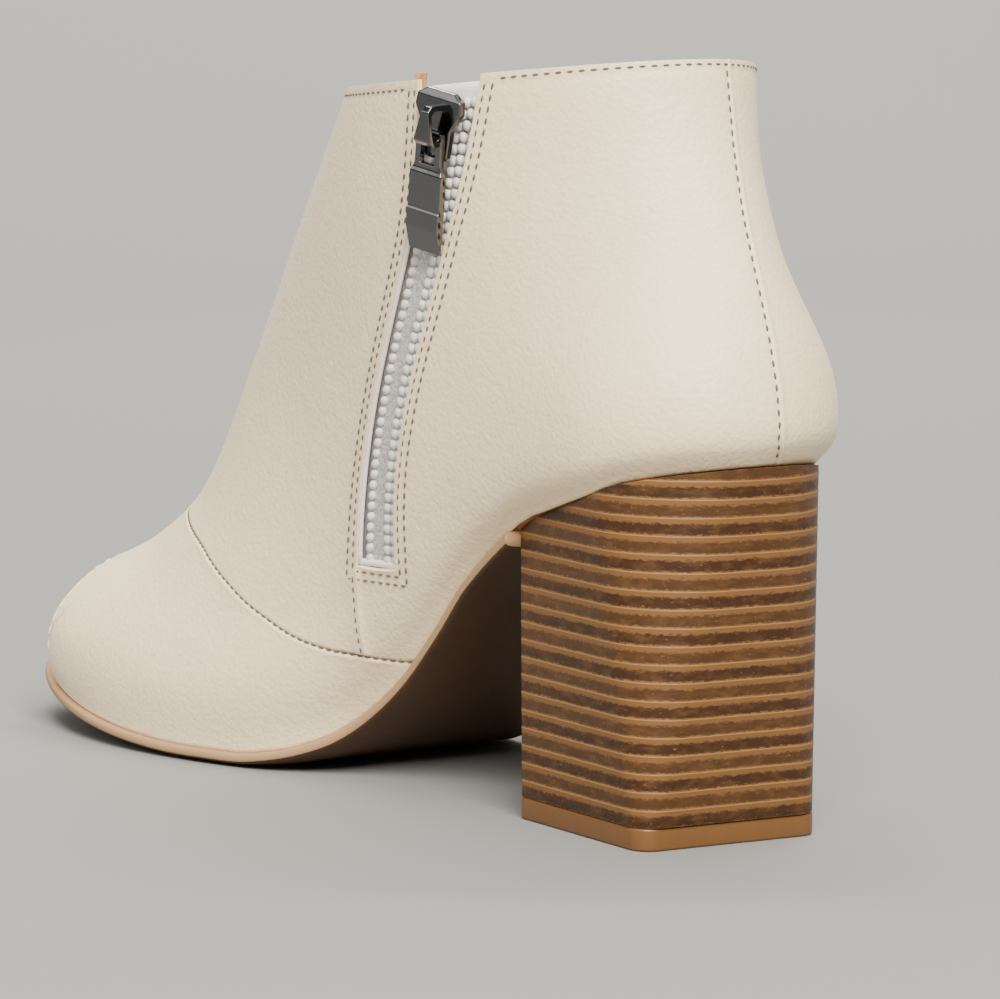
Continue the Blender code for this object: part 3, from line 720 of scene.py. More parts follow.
def make_groups():
    """Shader groups for grain and mottling."""
    wires, given, result = node_group(
        "pebble grain",
        (("Place", "NodeSocketVector", None), ("Pebbles per metre", "NodeSocketFloat", 1500.0),
         ("Fineness", "NodeSocketFloat", 0.35)),
        (("Height", "NodeSocketFloat"),))
    where, number = given["Place"], given["Pebbles per metre"]
    pebbles = wires.cells(where, number, "SMOOTH_F1")
    fine = wires.noise(where, wires.times(number, 2.7), 3.0, 0.6)
    coarse = wires.noise(where, wires.times(number, 0.33), 2.0, 0.5)
    height = wires.plus(wires.times(pebbles, -0.6), wires.times(fine, given["Fineness"]))
    wires.put(wires.plus(height, wires.times(coarse, 0.5)), result["Height"])

    wires, given, result = node_group(
        "soft mottle",
        (("Place", "NodeSocketVector", None), ("Base", "NodeSocketColor", (0.5, 0.5, 0.5, 1.0)),
         ("Tint", "NodeSocketColor", (0.4, 0.3, 0.2, 1.0)), ("Scale", "NodeSocketFloat", 40.0),
         ("Amount", "NodeSocketFloat", 0.3)),
        (("Colour", "NodeSocketColor"),))
    cloud = wires.noise(given["Place"], given["Scale"], 4.0, 0.62)
    mask = wires.times(wires.ramp(cloud, 0.38, 0.72), given["Amount"])
    wires.put(wires.mix(mask, given["Base"], given["Tint"]), result["Colour"])


def leather_material(name, colour, tint, roughness, depth):
    """Grained leather with faint warm clouds."""
    wires, shader, place = new_material(
        name, Roughness=roughness, Specular_IOR_Level=0.42, Sheen_Weight=0.08, Sheen_Roughness=0.5)
    cloud = wires.group("soft mottle", Place=place, Base=colour, Tint=tint, Scale=38.0, Amount=0.35)
    darker = wires.times(wires.ramp(wires.noise(place, 850.0, 3.0), 0.50, 0.34), 0.30)
    wires.put(wires.mix(darker, cloud["Colour"], tint), shader["Base Color"])
    uneven = wires.noise(place, 22.0, 3.0)
    wires.put(wires.plus(wires.times(uneven, 0.16), roughness - 0.08), shader["Roughness"])
    grain = wires.group("pebble grain", Place=place, Pebbles_per_metre=1100.0)
    wires.put(wires.bump(grain["Height"], depth, 0.8), shader["Normal"])


def mottled_material(name, base, tint, mottle, rubbed, depth, **plain):
    """Material with clouds of a second colour and a rubbed face; gives its wiring, shader and rubbing."""
    wires, shader, place = new_material(name, **plain)
    scale, amount = mottle
    cloud = wires.group("soft mottle", Place=place, Base=base, Tint=tint, Scale=scale, Amount=amount)
    wires.put(cloud["Colour"], shader["Base Color"])
    rub = wires.noise(place, rubbed, 3.0)
    wires.put(wires.bump(rub, depth, 0.5), shader["Normal"])
    return wires, shader, rub


def flecked_material(name, fleck, colours, depth, strength, **plain):
    """Material of two colours mixed by the noise that also roughens its face."""
    wires, shader, place = new_material(name, **plain)
    share = wires.noise(place, *fleck)
    wires.put(wires.mix(share, *colours), shader["Base Color"])
    wires.put(wires.bump(share, depth, strength), shader["Normal"])


def materials():
    """Materials of the dressing by name."""
    colours = bpy.context.scene.bootie_colours
    cream, tan, thread = tuple(colours.leather), tuple(colours.lining), tuple(colours.thread)
    edge, underside_painted_shade = tuple(colours.edge), tuple(colours.underside_painted_shade)
    warm = tuple(value * share for value, share in zip(cream, (0.93, 0.86, 0.78)))
    leather_material("cream leather", cream, warm, 0.42, 0.00028)
    leather_material("tan lining", tan, tuple(value * 0.7 for value in tan), 0.6, 0.00008)

    bright = tuple(value * 1.7 for value in thread)
    flecked_material("thread", (3000.0, 1.0), (thread, bright), 0.0001, 0.6, Roughness=0.7, Sheen_Weight=0.3)
    flecked_material("pale thread", (3000.0, 1.0), ((0.80, 0.74, 0.62), (0.66, 0.58, 0.46)), 0.0001, 0.6,
                     Roughness=0.65, Sheen_Weight=0.3)

    wires, shader, rub = mottled_material("sole", edge, underside_painted_shade, (60.0, 0.18), 420.0, 0.00006,
                                          Roughness=0.55, Specular_IOR_Level=0.2)
    wires.put(wires.plus(wires.times(rub, 0.18), 0.48), shader["Roughness"])
    # Darker material of the sole's downward faces: painted shade of the underside
    mottled_material("sole underside painted shade", underside_painted_shade, edge, (90.0, 0.10), 600.0, 0.00008,
                     Roughness=0.5, Specular_IOR_Level=0.3)
    mottled_material("top piece", tuple(colours.tip), underside_painted_shade, (140.0, 0.15), 500.0, 0.00005,
                     Roughness=0.4, Specular_IOR_Level=0.5)
    stack_material(tuple(colours.lift_pale), tuple(colours.lift_dark))

    flecked_material("zip tape", (2600.0, 1.0), ((0.92, 0.91, 0.88), (0.74, 0.72, 0.68)), 0.0001, 0.8,
                     Roughness=0.8, Sheen_Weight=0.2)
    flecked_material("zip coil", (900.0, 2.0), ((0.80, 0.78, 0.73), (0.58, 0.56, 0.52)), 0.00008, 0.5,
                     Roughness=0.38, Specular_IOR_Level=0.5)
    wires, shader, place = new_material("zip weave", Roughness=0.7, Sheen_Weight=0.2)
    knit = wires.noise(place, 1800.0, 2.0, 0.7)
    wires.put(wires.mix(wires.ramp(knit, 0.35, 0.65), (0.34, 0.32, 0.29), (0.66, 0.63, 0.58)),
              shader["Base Color"])
    wires.put(wires.bump(knit, 0.0002, 0.8), shader["Normal"])

    wires, shader, place = new_material("nickel", Base_Color=(0.15, 0.15, 0.155), Metallic=1.0)
    smear = wires.noise(place, 380.0, 4.0)
    wires.put(wires.ramp(smear, 0.35, 0.75, 0.07, 0.22), shader["Roughness"])
    wires.put(wires.bump(smear, 0.00002, 0.3), shader["Normal"])


def stack_material(pale, dark):
    """Stacked heel: a fine pale line on each lift, painted highlight of its proud edge, a pale band and a
    dark speckled band below it.
    """
    height = bpy.context.scene.bootie_sizes.lift
    wires, shader, place = new_material("stacked heel", Roughness=0.45, Specular_IOR_Level=0.28)
    split = wires.add("ShaderNodeSeparateXYZ")
    wires.put(place, split.inputs[0])
    count = wires.math("DIVIDE", wires.math("SUBTRACT", split.outputs["Z"], TIP_THICKNESS), height)
    share = wires.math("FRACT", count)
    lift = wires.math("FLOOR", count)
    stretch = wires.fill(wires.add("ShaderNodeMapping"), Scale=(1.0, 1.0, 2.4), Vector=place).outputs[0]
    speckle = wires.noise(stretch, 900.0, 3.0, 0.7)
    coarse = wires.noise(stretch, 260.0, 2.0, 0.6)
    ragged = wires.plus(share, wires.times(wires.math("SUBTRACT", speckle, 0.5), 0.5))
    band = wires.times(wires.ramp(ragged, 0.0, 0.12), wires.ramp(ragged, 0.76, 0.58))
    strong = wires.plus(wires.times(wires.math("MODULO", lift, 2.0), -0.16), 0.98)
    depth = wires.times(band, wires.times(strong, wires.ramp(coarse, 0.2, 0.6, 0.65, 1.0)))
    colour = wires.mix(depth, pale, dark)
    fleck = wires.times(wires.ramp(speckle, 0.62, 0.72), wires.times(band, 0.8))
    colour = wires.mix(fleck, colour, tuple(value * 1.25 for value in pale))
    # Pale line near the top of each lift, where its proud edge stands: painted highlight
    line = wires.ramp(wires.math("ABSOLUTE", wires.math("SUBTRACT", share, 0.965)), 0.038, 0.010)
    wires.put(wires.mix(wires.times(line, 0.9), colour, (0.30, 0.165, 0.066)), shader["Base Color"])
    wires.put(wires.bump(wires.times(speckle, band), 0.00012, 0.5), shader["Normal"])


def get(name):
    """Material by its name."""
    return bpy.data.materials[name]


# Leather

def spaced(around, low, high, row, middle_rows):
    """Rise of a row, and its distance from the lower and upper border; rows crowd at both borders."""
    upward = rates(around, (low + high) / 2)[1]
    last = len(RIM) - 1
    rows = 2 * last + middle_rows
    inner_low, inner_high = low + RIM[last] / upward, high - RIM[last] / upward
    if inner_high - inner_low < 0.01:
        rise = low + (high - low) * row / rows
    elif row <= last:
        rise = low + RIM[row] / upward
    elif row >= rows - last:
        rise = high - RIM[rows - row] / upward
    else:
        rise = inner_low + (inner_high - inner_low) * (row - last) / middle_rows
    return rise, (rise - low) * upward, (high - rise) * upward


def curl(distance, depth=0.55 * MM, width=0.7 * MM):
    """How far the leather's edge turns in, by the distance from a closed seam."""
    share = max(1 - distance / width, 0.0)
    return -depth * share * share


def rolled(around, out):
    """Point of the upper's lower edge, turned in and down onto the sole."""
    return over(around, 0.0, out - 0.35 * MM) - Vector((0.0, 0.0, GAP + 0.03 * MM))


def finish_leather(name, mesh, outer, thickness):
    """Piece of outer leather, which stands for the upper, or of its lining."""
    weld(mesh)
    face_out(mesh)
    if outer:
        piece = finish_piece(name, mesh, "cream leather", ("upper",))
    else:
        piece = finish_piece(name, mesh, "tan lining")
    thicken(piece, thickness, RIM_ROUND)


def make_vamp(name, out, thickness, outer):
    """Forefoot piece from the feather line and the peep edge up to the vamp seam."""
    end = VAMP_SEAM[-1][0] + (0.006 if outer else -0.002)
    corner = peep_end(1)
    columns = []
    for start, stop, count in ((-end, -corner, 72), (-corner, corner, 64), (corner, end, 72)):
        columns += [start + (stop - start) * step / count for step in range(count)]
    columns.append(end)
    middle_rows = 34
    rows = 2 * (len(RIM) - 1) + middle_rows

    def place(column, row):
        around = columns[column]
        low, high = peep_rise(around), seam_rise(around)
        if row > rows:
            reach, depth = UNDERLAP[row - rows - 1]
            return over(around, high + reach / rates(around, high)[1], out - depth)
        if row == 0 and low == 0:
            return rolled(around, out)
        rise, below, above = spaced(around, low, high, row, middle_rows)
        raised = out
        if outer:
            raised += curl(above)
            if low > 0:
                raised += dip(below - PEEP_ROW, 0.12 * MM, 0.5 * MM)
            raised += puff(around, above)
        return over(around, rise, raised)

    mesh = sheet(len(columns) - 1, rows + (len(UNDERLAP) if outer else 0), place)
    finish_leather(name, mesh, outer, thickness)


def face_out(mesh):
    """Turn a sheet over if most of it faces the middle of the shoe."""
    total = 0.0
    for face in mesh.faces:
        centre = face.calc_center_median()
        total += face.normal.dot(centre - Vector((-0.003, centre.y * 0.9, 0.05))) * face.calc_area()
    if total < 0:
        bmesh.ops.reverse_faces(mesh, faces=mesh.faces)


def puff(around, above):
    """Small gathers that the stitches pull in the vamp's edge."""
    along = seam_length(around)
    wave = 0.5 - 0.5 * math.cos(2 * math.pi * along / SEAM_PITCH)
    return 0.16 * MM * wave * math.exp(-((above - 0.7 * MM) / (0.55 * MM)) ** 2)


@lru_cache(maxsize=None)
def seam_lengths():
    """Length along the vamp seam by station, from the ridge."""
    end = VAMP_SEAM[-1][0]
    count = 80
    spots = [end * step / count for step in range(count + 1)]
    points = [last_point(spot, seam_rise(spot)) for spot in spots]
    rows, total = [(0.0, 0.0)], 0.0
    for spot, before, here in zip(spots[1:], points, points[1:]):
        total += (here - before).length
        rows.append((spot, total))
    return tuple(rows)


def seam_length(around):
    """Length along the vamp seam from the ridge to a station."""
    turn = around % 2.0
    return read_line(seam_lengths(), min(turn, 2.0 - turn))


def quarter_columns():
    """Columns round the shaft: two knots, a share between them, and millimetres from the nearer one."""
    columns = []
    for knot, count in ((0, 44), (1, 8), (2, 24), (3, 70)):
        if knot == 1:
            columns += [(knot, step / count, 0.0) for step in range(count)]
            continue
        start = [] if knot == 0 else [(knot, 0.0, step) for step in SIDE_STEPS[:-1]]
        end = [] if knot == 3 else [(knot + 1, 0.0, -step) for step in reversed(SIDE_STEPS[1:-1])]
        low = 0 if knot == 0 else SIDE_STEPS[-1]
        high = 0 if knot == 3 else SIDE_STEPS[-1]
        middle = [(knot, step / count, low + (-high - low) * step / count) for step in range(count + 1)]
        columns += start + middle + end
    return columns


def make_quarters(name, out, thickness, outer, top_gap=0.0):
    """Shaft from the vamp seam and the feather line to the collar, with the zip's slot left out."""
    front_edge, back_edge, front_foot, back_foot = zip_edges()
    columns = quarter_columns()
    last = len(RIM) - 1
    low_rows, high_rows = 16, 44
    rows = 2 * last + low_rows + last + high_rows
    foot_row = last + low_rows

    def station_at(column, rise):
        knot, share, shift = columns[column]
        if knot == 4:
            return 2.0
        lines = (front_edge, back_edge, BACK_SEAM)
        knots = (0.0, *(read_line(line, rise) for line in lines), 2.0)
        station = knots[knot] + (knots[knot + 1] - knots[knot]) * share
        if shift:
            station += shift * MM / rates(station, rise)[0]
        return station

    def foot_level(knot, share, station, low):
        if knot == 0:
            blend_in = share * share * (3 - 2 * share)
            foot = (low + (1 - low) * FOOT_SHARE) * (1 - blend_in) + front_foot * blend_in
            return max(foot, low + FOOT_ROOM / rates(station, low)[1])
        if knot == 1 and share < 1:
            return front_foot + (back_foot - front_foot) * share
        if knot in (1, 2):
            return back_foot
        turn = max(station - 1.0, 0.0)
        foot = back_foot * (1 - turn) + (VAMP_SEAM[0][1] + (1 - VAMP_SEAM[0][1]) * FOOT_SHARE) * turn
        return max(foot, low + (1 - low) * FOOT_SHARE)

    def rise_at(row, low, foot, upward):
        edge = RIM[last] / upward
        if row <= last:
            return low + RIM[row] / upward
        if row <= foot_row:
            return low + edge + (foot - low - edge) * (row - last) / low_rows
        if row <= foot_row + last:
            return foot + RIM[row - foot_row] / upward
        if row <= rows - last:
            return foot + edge + (1 - edge - foot - edge) * (row - foot_row - last) / high_rows
        return 1 - RIM[rows - row] / upward

    def place(column, row):
        knot, share, _ = columns[column]
        station = station_at(column, 0.2)
        for _ in range(3):
            low = seam_rise(station)
            foot = foot_level(knot, share, station, low)
            upward = rates(station, foot)[1]
            rise = rise_at(row, low, foot, upward)
            station = station_at(column, rise)
        rise = min(rise, 1 - top_gap / upward)
        if row == 0 and low == 0:
            return rolled(station, out)
        raised = out
        below, above = (rise - low) * upward, (1 - rise) * upward
        if outer:
            turn = station % 2.0
            if min(turn, 2.0 - turn) < VAMP_SEAM[-1][0]:
                raised += curl(below)
            raised += dip(above - COLLAR_ROW, 0.14 * MM, 0.5 * MM)
            raised += side_relief(station, rise, row >= foot_row)
        return over(station, rise, raised)

    mesh = sheet(len(columns) - 1, rows, place)
    back, rows_down = (0.0, 0) if outer else (LINING_BACK, LINING_DOWN)
    first = columns.index((1, 0.0, -back))
    stop = columns.index((2, 0.0, back))
    mesh.faces.ensure_lookup_table()
    gone = [mesh.faces[row * (len(columns) - 1) + column]
            for row in range(foot_row - rows_down, rows) for column in range(first, stop)]
    bmesh.ops.delete(mesh, geom=gone, context="FACES")
    finish_leather(name, mesh, outer, thickness)


def side_relief(station, rise, beside_slot):
    """Grooves and steps of the zip's stitch rows, the seam under the zip and the back seam."""
    front_edge, back_edge, _, _ = zip_edges()
    along = rates(station, rise)[0]
    raised = 0.0
    ahead = (read_line(front_edge, rise) - station) * along
    behind = (station - read_line(back_edge, rise)) * along
    if beside_slot:
        distance = max(ahead, behind)
        for row in ZIP_ROWS:
            raised += dip(distance - row, 0.12 * MM, 0.45 * MM)
        raised += 0.22 * MM * math.exp(-(max(distance, 0.0) / (3.4 * MM)) ** 4)
    elif abs(ahead) < SEAM_REACH:
        step = 1 / (1 + math.exp(-(ahead - 0.05 * MM) / (0.08 * MM)))
        raised += 0.40 * MM * step * math.exp(-(ahead / (4 * MM)) ** 2)
        raised += dip(ahead - 1.4 * MM, 0.10 * MM, 0.45 * MM)
    seam = (station - read_line(BACK_SEAM, rise)) * along
    if abs(seam) < SEAM_REACH:
        raised -= dip(seam - 0.35 * MM, 0.28 * MM, 0.5 * MM)
        raised += dip(seam + BACK_ROW, 0.14 * MM, 0.4 * MM)
    return raised


# Stitches

def stitch_row(mesh, spots, out, pitch, thread, share=0.62):
    """Thread stitches along stations and rises, each a slim drop at a distance from the upper's face."""
    points = [over(station, rise, out) for station, rise in spots]
    normals = [last_normal(station, min(rise, 0.99)) for station, rise in spots]
    total = sum((b - a).length for a, b in zip(points, points[1:]))
    count = max(round(total / pitch), 1)
    walked, spot = 0.0, 0
    for stitch in range(count):
        goal = (stitch + 0.5) * total / count
        while spot < len(points) - 2 and walked + (points[spot + 1] - points[spot]).length < goal:
            walked += (points[spot + 1] - points[spot]).length
            spot += 1
        way = points[spot + 1] - points[spot]
        part = (goal - walked) / max(way.length, 1e-9)
        normal = normals[spot].lerp(normals[spot + 1], part).normalized()
        along = (way - normal * way.dot(normal)).normalized()
        turn = Matrix((along, normal.cross(along), normal)).transposed().to_4x4()
        size = Matrix.Diagonal((pitch * share / 2, thread / 2, thread / 2, 1.0))
        bmesh.ops.create_uvsphere(mesh, u_segments=8, v_segments=5, radius=1.0,
                                  matrix=Matrix.Translation(points[spot] + way * part) @ turn @ size)


def finish_stitches(name, rows, material="thread"):
    """Piece of several rows of stitches."""
    mesh = bmesh.new()
    for row in rows:
        stitch_row(mesh, *row)
    finish_piece(name, mesh, material)


def make_stitches():
    """All rows of stitches in the upper."""
    sizes = bpy.context.scene.bootie_sizes
    plain = (sizes.stitch, sizes.thread)
    rows = []
    for distance in ZIP_ROWS:
        foot = -distance / zip_length()
        for side in (1, -1):
            shares = [foot + (0.985 - foot) * step / 60 for step in range(61)]
            spots = [find_on_side(*zip_spot(share, side * (slot_half(share) + distance))) for share in shares]
            rows.append((spots, 0.12 * MM, *plain))
        wide = slot_half(0.0) + distance
        spots = [find_on_side(*zip_spot(foot, -wide + 2 * wide * step / 20)) for step in range(21)]
        rows.append((spots, 0.08 * MM, *plain))
    finish_stitches("zip_stitches", rows)

    front_edge, back_edge, _, _ = zip_edges()
    line = 1 - COLLAR_ROW / rates(0.3, 1.0)[1]
    start = read_line(back_edge, line) + COLLAR_ROW_END / rates(0.6, line)[0]
    stop = 2.0 + read_line(front_edge, line) - COLLAR_ROW_END / rates(0.4, line)[0]
    spots = [(start + (stop - start) * step / 200, line) for step in range(201)]
    finish_stitches("collar_stitches", [(spots, -0.02 * MM, *plain)])

    end = VAMP_SEAM[-1][0]
    spots = []
    for step in range(121):
        station = end * step / 120
        rise = seam_rise(station)
        spots.append((station, rise + 0.1 * MM / rates(station, rise)[1]))
    other = [(-station, rise) for station, rise in spots]
    thick = (-0.28 * MM, SEAM_PITCH, sizes.thread * 1.15, 0.7)
    finish_stitches("vamp_seam_stitches", [(spots, *thick), (other, *thick)])

    seam = [(height, setback) for setback, height in reversed(ZIP_SEAM)]
    low, high = seam[0][0], seam[-1][0]
    heights = [low + (high - low) * (step / 40) for step in range(41)]
    under_zip = [find_on_side(read_line(seam, height) + ZIP_SEAM_ROW, height) for height in heights]
    back = []
    for step in range(81):
        rise = 0.02 + 0.96 * step / 80
        station = read_line(BACK_SEAM, rise)
        back.append((station - BACK_ROW / rates(station, rise)[0], rise))
    finish_stitches("seam_stitches", [(under_zip, 0.22 * MM, *plain), (back, 0.02 * MM, *plain)])

    spots = []
    corner = peep_end(1)
    for step in range(121):
        around = corner * (2 * step / 120 - 1) * 1.04
        rise = peep_rise(around)
        spots.append((around, rise + PEEP_ROW / rates(around, rise)[1]))
    finish_stitches("peep_stitches", [(spots, -0.02 * MM, PEEP_PITCH, sizes.thread, 0.6)], "pale thread")


# Sole and heel

def foot_board(columns, profile, grow, bottom, top):
    """Board with the foot's outline: each row of its profile has a share, an inset and a height share."""
    def place(column, row):
        around = 2.0 * column / columns
        share, inset, level = profile[row]
        middle = middle_of(around)
        point = middle + (outline(around, grow - inset) - middle) * share
        setback = HEEL_SETBACK - point.y
        low, high = bottom(setback, inset, share), top(setback)
        return Vector((point.x, point.y, low + (high - low) * level))

    mesh = sheet(columns, len(profile) - 1, place)
    weld(mesh)
    return mesh


def sole_bottom(setback, inset, share):
    """Underside of the sole, flat on the floor at the ball and lifted at its edge."""
    height = max(feather_height(setback) - GAP - SOLE_THICKNESS * slant(setback), 0.0)
    edge = max(1 - inset / (5 * MM), 0.0) if share == 1.0 else 0.0
    return height + 0.9 * MM * edge


def make_insole():
    """Lining sock over the board, seen through the peep toe and from above."""
    profile = ((0.0, 0, 0), (0.6, 0, 0), (1.0, 0, 0), (1.0, 0, 0.8), (1.0, 0.0003, 0.95), (1.0, 0.0009, 1.0),
               (0.8, 0, 1.0), (0.5, 0, 1.0), (0.2, 0, 1.0), (0.0, 0, 1.0))
    mesh = foot_board(200, profile, -(WALL + 0.0004), lambda setback, inset, share: feather_height(setback),
                      lambda setback: feather_height(setback) + INSOLE_THICKNESS * slant(setback))
    finish_piece("sock_lining", mesh, "tan lining", ("insole",))


def make_outsole():
    """Thin sole with rounded edges, cut off at the breast of the heel."""
    profile = ((0.0, 0, 0), (0.3, 0, 0), (0.6, 0, 0), (1.0, 5 * MM, 0), (1.0, 3 * MM, 0), (1.0, 1.6 * MM, 0),
               (1.0, 0.9 * MM, 0.02), (1.0, 0.4 * MM, 0.08), (1.0, 0.12 * MM, 0.2), (1.0, 0.0, 0.38),
               (1.0, 0.0, 0.66), (1.0, 0.12 * MM, 0.84), (1.0, 0.4 * MM, 0.95), (1.0, 0.8 * MM, 1.0),
               (1.0, 2.2 * MM, 1.0), (1.0, 5 * MM, 1.0), (0.6, 0, 1.0), (0.0, 0, 1.0))
    mesh = foot_board(260, profile, SOLE_LEDGE, sole_bottom, lambda setback: feather_height(setback) - GAP)
    turn = Matrix.Rotation(math.radians(-BLOCK_YAW), 3, "Z")
    plane = turn @ Vector((0.0, -(BLOCK_DEPTH / 2 + 0.1 * MM), 0.0))
    cut = bmesh.ops.bisect_plane(mesh, geom=mesh.verts[:] + mesh.edges[:] + mesh.faces[:], dist=0.00001,
                                 plane_co=plane, plane_no=turn @ Vector((0.0, 1.0, 0.0)), clear_outer=True)
    rim = [item for item in cut["geom_cut"] if isinstance(item, bmesh.types.BMEdge)]
    bmesh.ops.holes_fill(mesh, edges=rim, sides=0)
    weld(mesh)
    piece = finish_piece("sole", mesh, "sole", ("outsole",))
    # Faces that lie deep in the sole and face down take the darker material: painted shade of the underside
    piece.data.materials.append(get("sole underside painted shade"))
    for polygon in piece.data.polygons:
        setback = HEEL_SETBACK - polygon.center.y
        depth = (feather_height(setback) - GAP - polygon.center.z) / (SOLE_THICKNESS * slant(setback))
        polygon.material_index = int(depth > 0.6 and polygon.normal.z < -0.2)


def rounded_quad(half_back, half_front, back, front, back_radius, front_radius, steps=14):
    """Outline of the heel seen from above, with an arc at each corner."""
    corners = ((half_front, front, front_radius), (half_back, back, back_radius),
               (-half_back, back, back_radius), (-half_front, front, front_radius))
    points = []
    for spot, (x, y, radius) in enumerate(corners):
        corner = Vector((x, y))
        before = (Vector(corners[spot - 1][:2]) - corner).normalized()
        after = (Vector(corners[(spot + 1) % 4][:2]) - corner).normalized()
        half_angle = before.angle(after) / 2
        centre = corner + (before + after).normalized() * radius / math.sin(half_angle)
        start = corner + before * radius / math.tan(half_angle) - centre
        end = corner + after * radius / math.tan(half_angle) - centre
        sweep = start.angle_signed(end)
        for step in range(steps + 1):
            arm = start.copy()
            arm.rotate(Matrix.Rotation(-sweep * step / steps, 2))
            points.append(centre + arm)
    dense = []
    for spot, point in enumerate(points):
        after = points[(spot + 1) % len(points)]
        pieces = 6 if (spot + 1) % (steps + 1) == 0 else 1
        dense += [point.lerp(after, step / pieces) for step in range(pieces)]
    return dense


@lru_cache(maxsize=None)
def heel_outlines():
    """Outlines of the block's foot and of its seat, with matching points."""
    foot = rounded_quad(BLOCK_WIDTH / 2, BLOCK_WIDTH / 2, BLOCK_DEPTH / 2, -BLOCK_DEPTH / 2, BLOCK_CORNER,
                        BLOCK_FRONT_CORNER)
    seat = rounded_quad(SEAT_WIDTH / 2, SEAT_FRONT_WIDTH / 2, BLOCK_DEPTH / 2 + SEAT_OVERHANG,
                        -BLOCK_DEPTH / 2, SEAT_CORNER, BLOCK_FRONT_CORNER)
    return foot, seat


def heel_point(spot, height, out=0.0):
    """Point of the block's outline at a height, pushed out by a distance."""
    foot, seat = heel_outlines()
    share = height / HEEL_HEIGHT
    count = len(foot)
    point = foot[spot % count].lerp(seat[spot % count], share)
    if out:
        ahead = foot[(spot + 1) % count].lerp(seat[(spot + 1) % count], share)
        before = foot[spot - 1].lerp(seat[spot - 1], share)
        way = (ahead - before).normalized()
        point = point + Vector((way.y, -way.x)) * out
    return Matrix.Rotation(math.radians(-BLOCK_YAW), 4, "Z") @ Vector((point.x, point.y, height))


def heel_piece(name, material, node, rows, place):
    """Closed piece with the block's outline, whose corners a function places by column and row."""
    mesh = sheet(len(heel_outlines()[0]), rows, place)
    weld(mesh)
    close_up(mesh)
    flatten(finish_piece(name, mesh, material, (node,)))


def make_heel():
    """Stacked block with a fine proud line on every lift, up to the slope of the seat."""
    lift = bpy.context.scene.bootie_sizes.lift
    low = TIP_THICKNESS + 0.05 * MM
    levels = [(low, -0.10 * MM), (low + 0.15 * MM, 0.0)]
    for number in range(1, 21):
        base = TIP_THICKNESS + number * lift
        levels += [(base + share * lift, out * MM) for share, out in LIFT_LINE]

    def place(column, row):
        height, out = levels[row]
        point = heel_point(column, height, out)
        for _ in range(4):
            top = feather_height(HEEL_SETBACK - point.y) - GAP
            if height <= top:
                break
            point = heel_point(column, top, 0.0)
            point.z = top
        return point

    heel_piece("stacked_block", "stacked heel", "heel", len(levels) - 1, place)


def flatten(piece, angle=55):
    """Sharp edges where faces turn by more than an angle, for clean shading."""
    data = piece.data
    mesh = bmesh.new()
    mesh.from_mesh(data)
    for edge in mesh.edges:
        if len(edge.link_faces) == 2 and edge.calc_face_angle(0.0) > math.radians(angle):
            edge.smooth = False
    mesh.to_mesh(data)
    mesh.free()


def make_heel_tip():
    """Top piece under the heel with eased edges."""
    levels = ((0.0, -0.45 * MM), (0.05 * MM, -0.2 * MM), (0.3 * MM, 0.02 * MM), (0.6 * MM, 0.08 * MM),
              (TIP_THICKNESS - 0.5 * MM, 0.08 * MM), (TIP_THICKNESS - 0.2 * MM, 0.03 * MM),
              (TIP_THICKNESS, -0.2 * MM))

    def place(column, row):
        height, out = levels[row]
        point = heel_point(column, 0.0, out)
        return Vector((point.x, point.y, height))

    heel_piece("top_piece", "top piece", "heel_tip", len(levels) - 1, place)


# Zip

def zip_band(name, material, ends, steps, columns, profile, stands_for=()):
    """Band that follows the zip; its profile gives across and out, which may change along it."""
    length = zip_length()

    def place(column, row):
        share = (ends[0] + (ends[1] - ends[0]) * row / steps) / length
        return beside_zip(share, *profile(column, row, share))

    mesh = sheet(columns, steps, place)
    weld(mesh)
    close_up(mesh)
    finish_piece(name, mesh, material, stands_for)


def make_zip():
    """Woven tape behind the slot with its cord and end bar, the meshed coil and its lines of loops."""
    length = zip_length()

    def tape_profile(column, row, share):
        half, out = slot_half(share) + TAPE_REACH, -(WALL + GAP)
        back = out - TAPE_THICKNESS
        return ((-half, out), (-half / 2, out), (0.0, out), (half / 2, out), (half, out), (half, back),
                (0.0, back), (-half, back), (-half, out))[column]

    def cord_profile(column, row, share):
        angle = 2 * math.pi * column / 8
        return (slot_half(share) - CORD_RADIUS + CORD_RADIUS * math.cos(angle),
                -CORD_RADIUS + CORD_RADIUS * math.sin(angle))

    def coil_profile(column, row, share):
        low, high = TEETH_OUT - 0.2 * MM, TEETH_OUT + 0.45 * MM - (0.14 * MM if row % 2 else 0.0)
        wide, side = min(COIL_HALF, slot_half(share) - 0.5 * MM), high - 0.3 * MM
        return ((-wide, low), (-wide, side), (-wide * 0.8, high), (0.0, high - 0.1 * MM),
                (wide * 0.8, high), (wide, side), (wide, low), (-wide, low))[column]

    zip_band("woven_tape", "zip tape", (-1.5 * MM, length - 1.5 * MM), 60, 8, tape_profile,
             ("zip_tape",))
    zip_band("tape_cord", "zip tape", (0.4 * MM, length - 2 * MM), 60, 8, cord_profile)
    turns = round((length - 22 * MM) / COIL_PITCH)
    zip_band("meshed_coil", "zip weave", (1.2 * MM, length - 19 * MM), 2 * turns, 7, coil_profile,
             ("zip_teeth",))
    make_loops(length)

    def place(column, row):
        across = -5.6 * MM + 11.2 * MM * row / 24
        angle = 2 * math.pi * column / 12
        share = (0.75 * MM + 0.75 * MM * math.cos(angle)) / length
        return beside_zip(share, across, -1.0 * MM + 0.7 * MM * math.sin(angle))

    mesh = sheet(12, 24, place)
    weld(mesh)
    close_up(mesh)
    finish_piece("tape_end_bar", mesh, "zip tape")


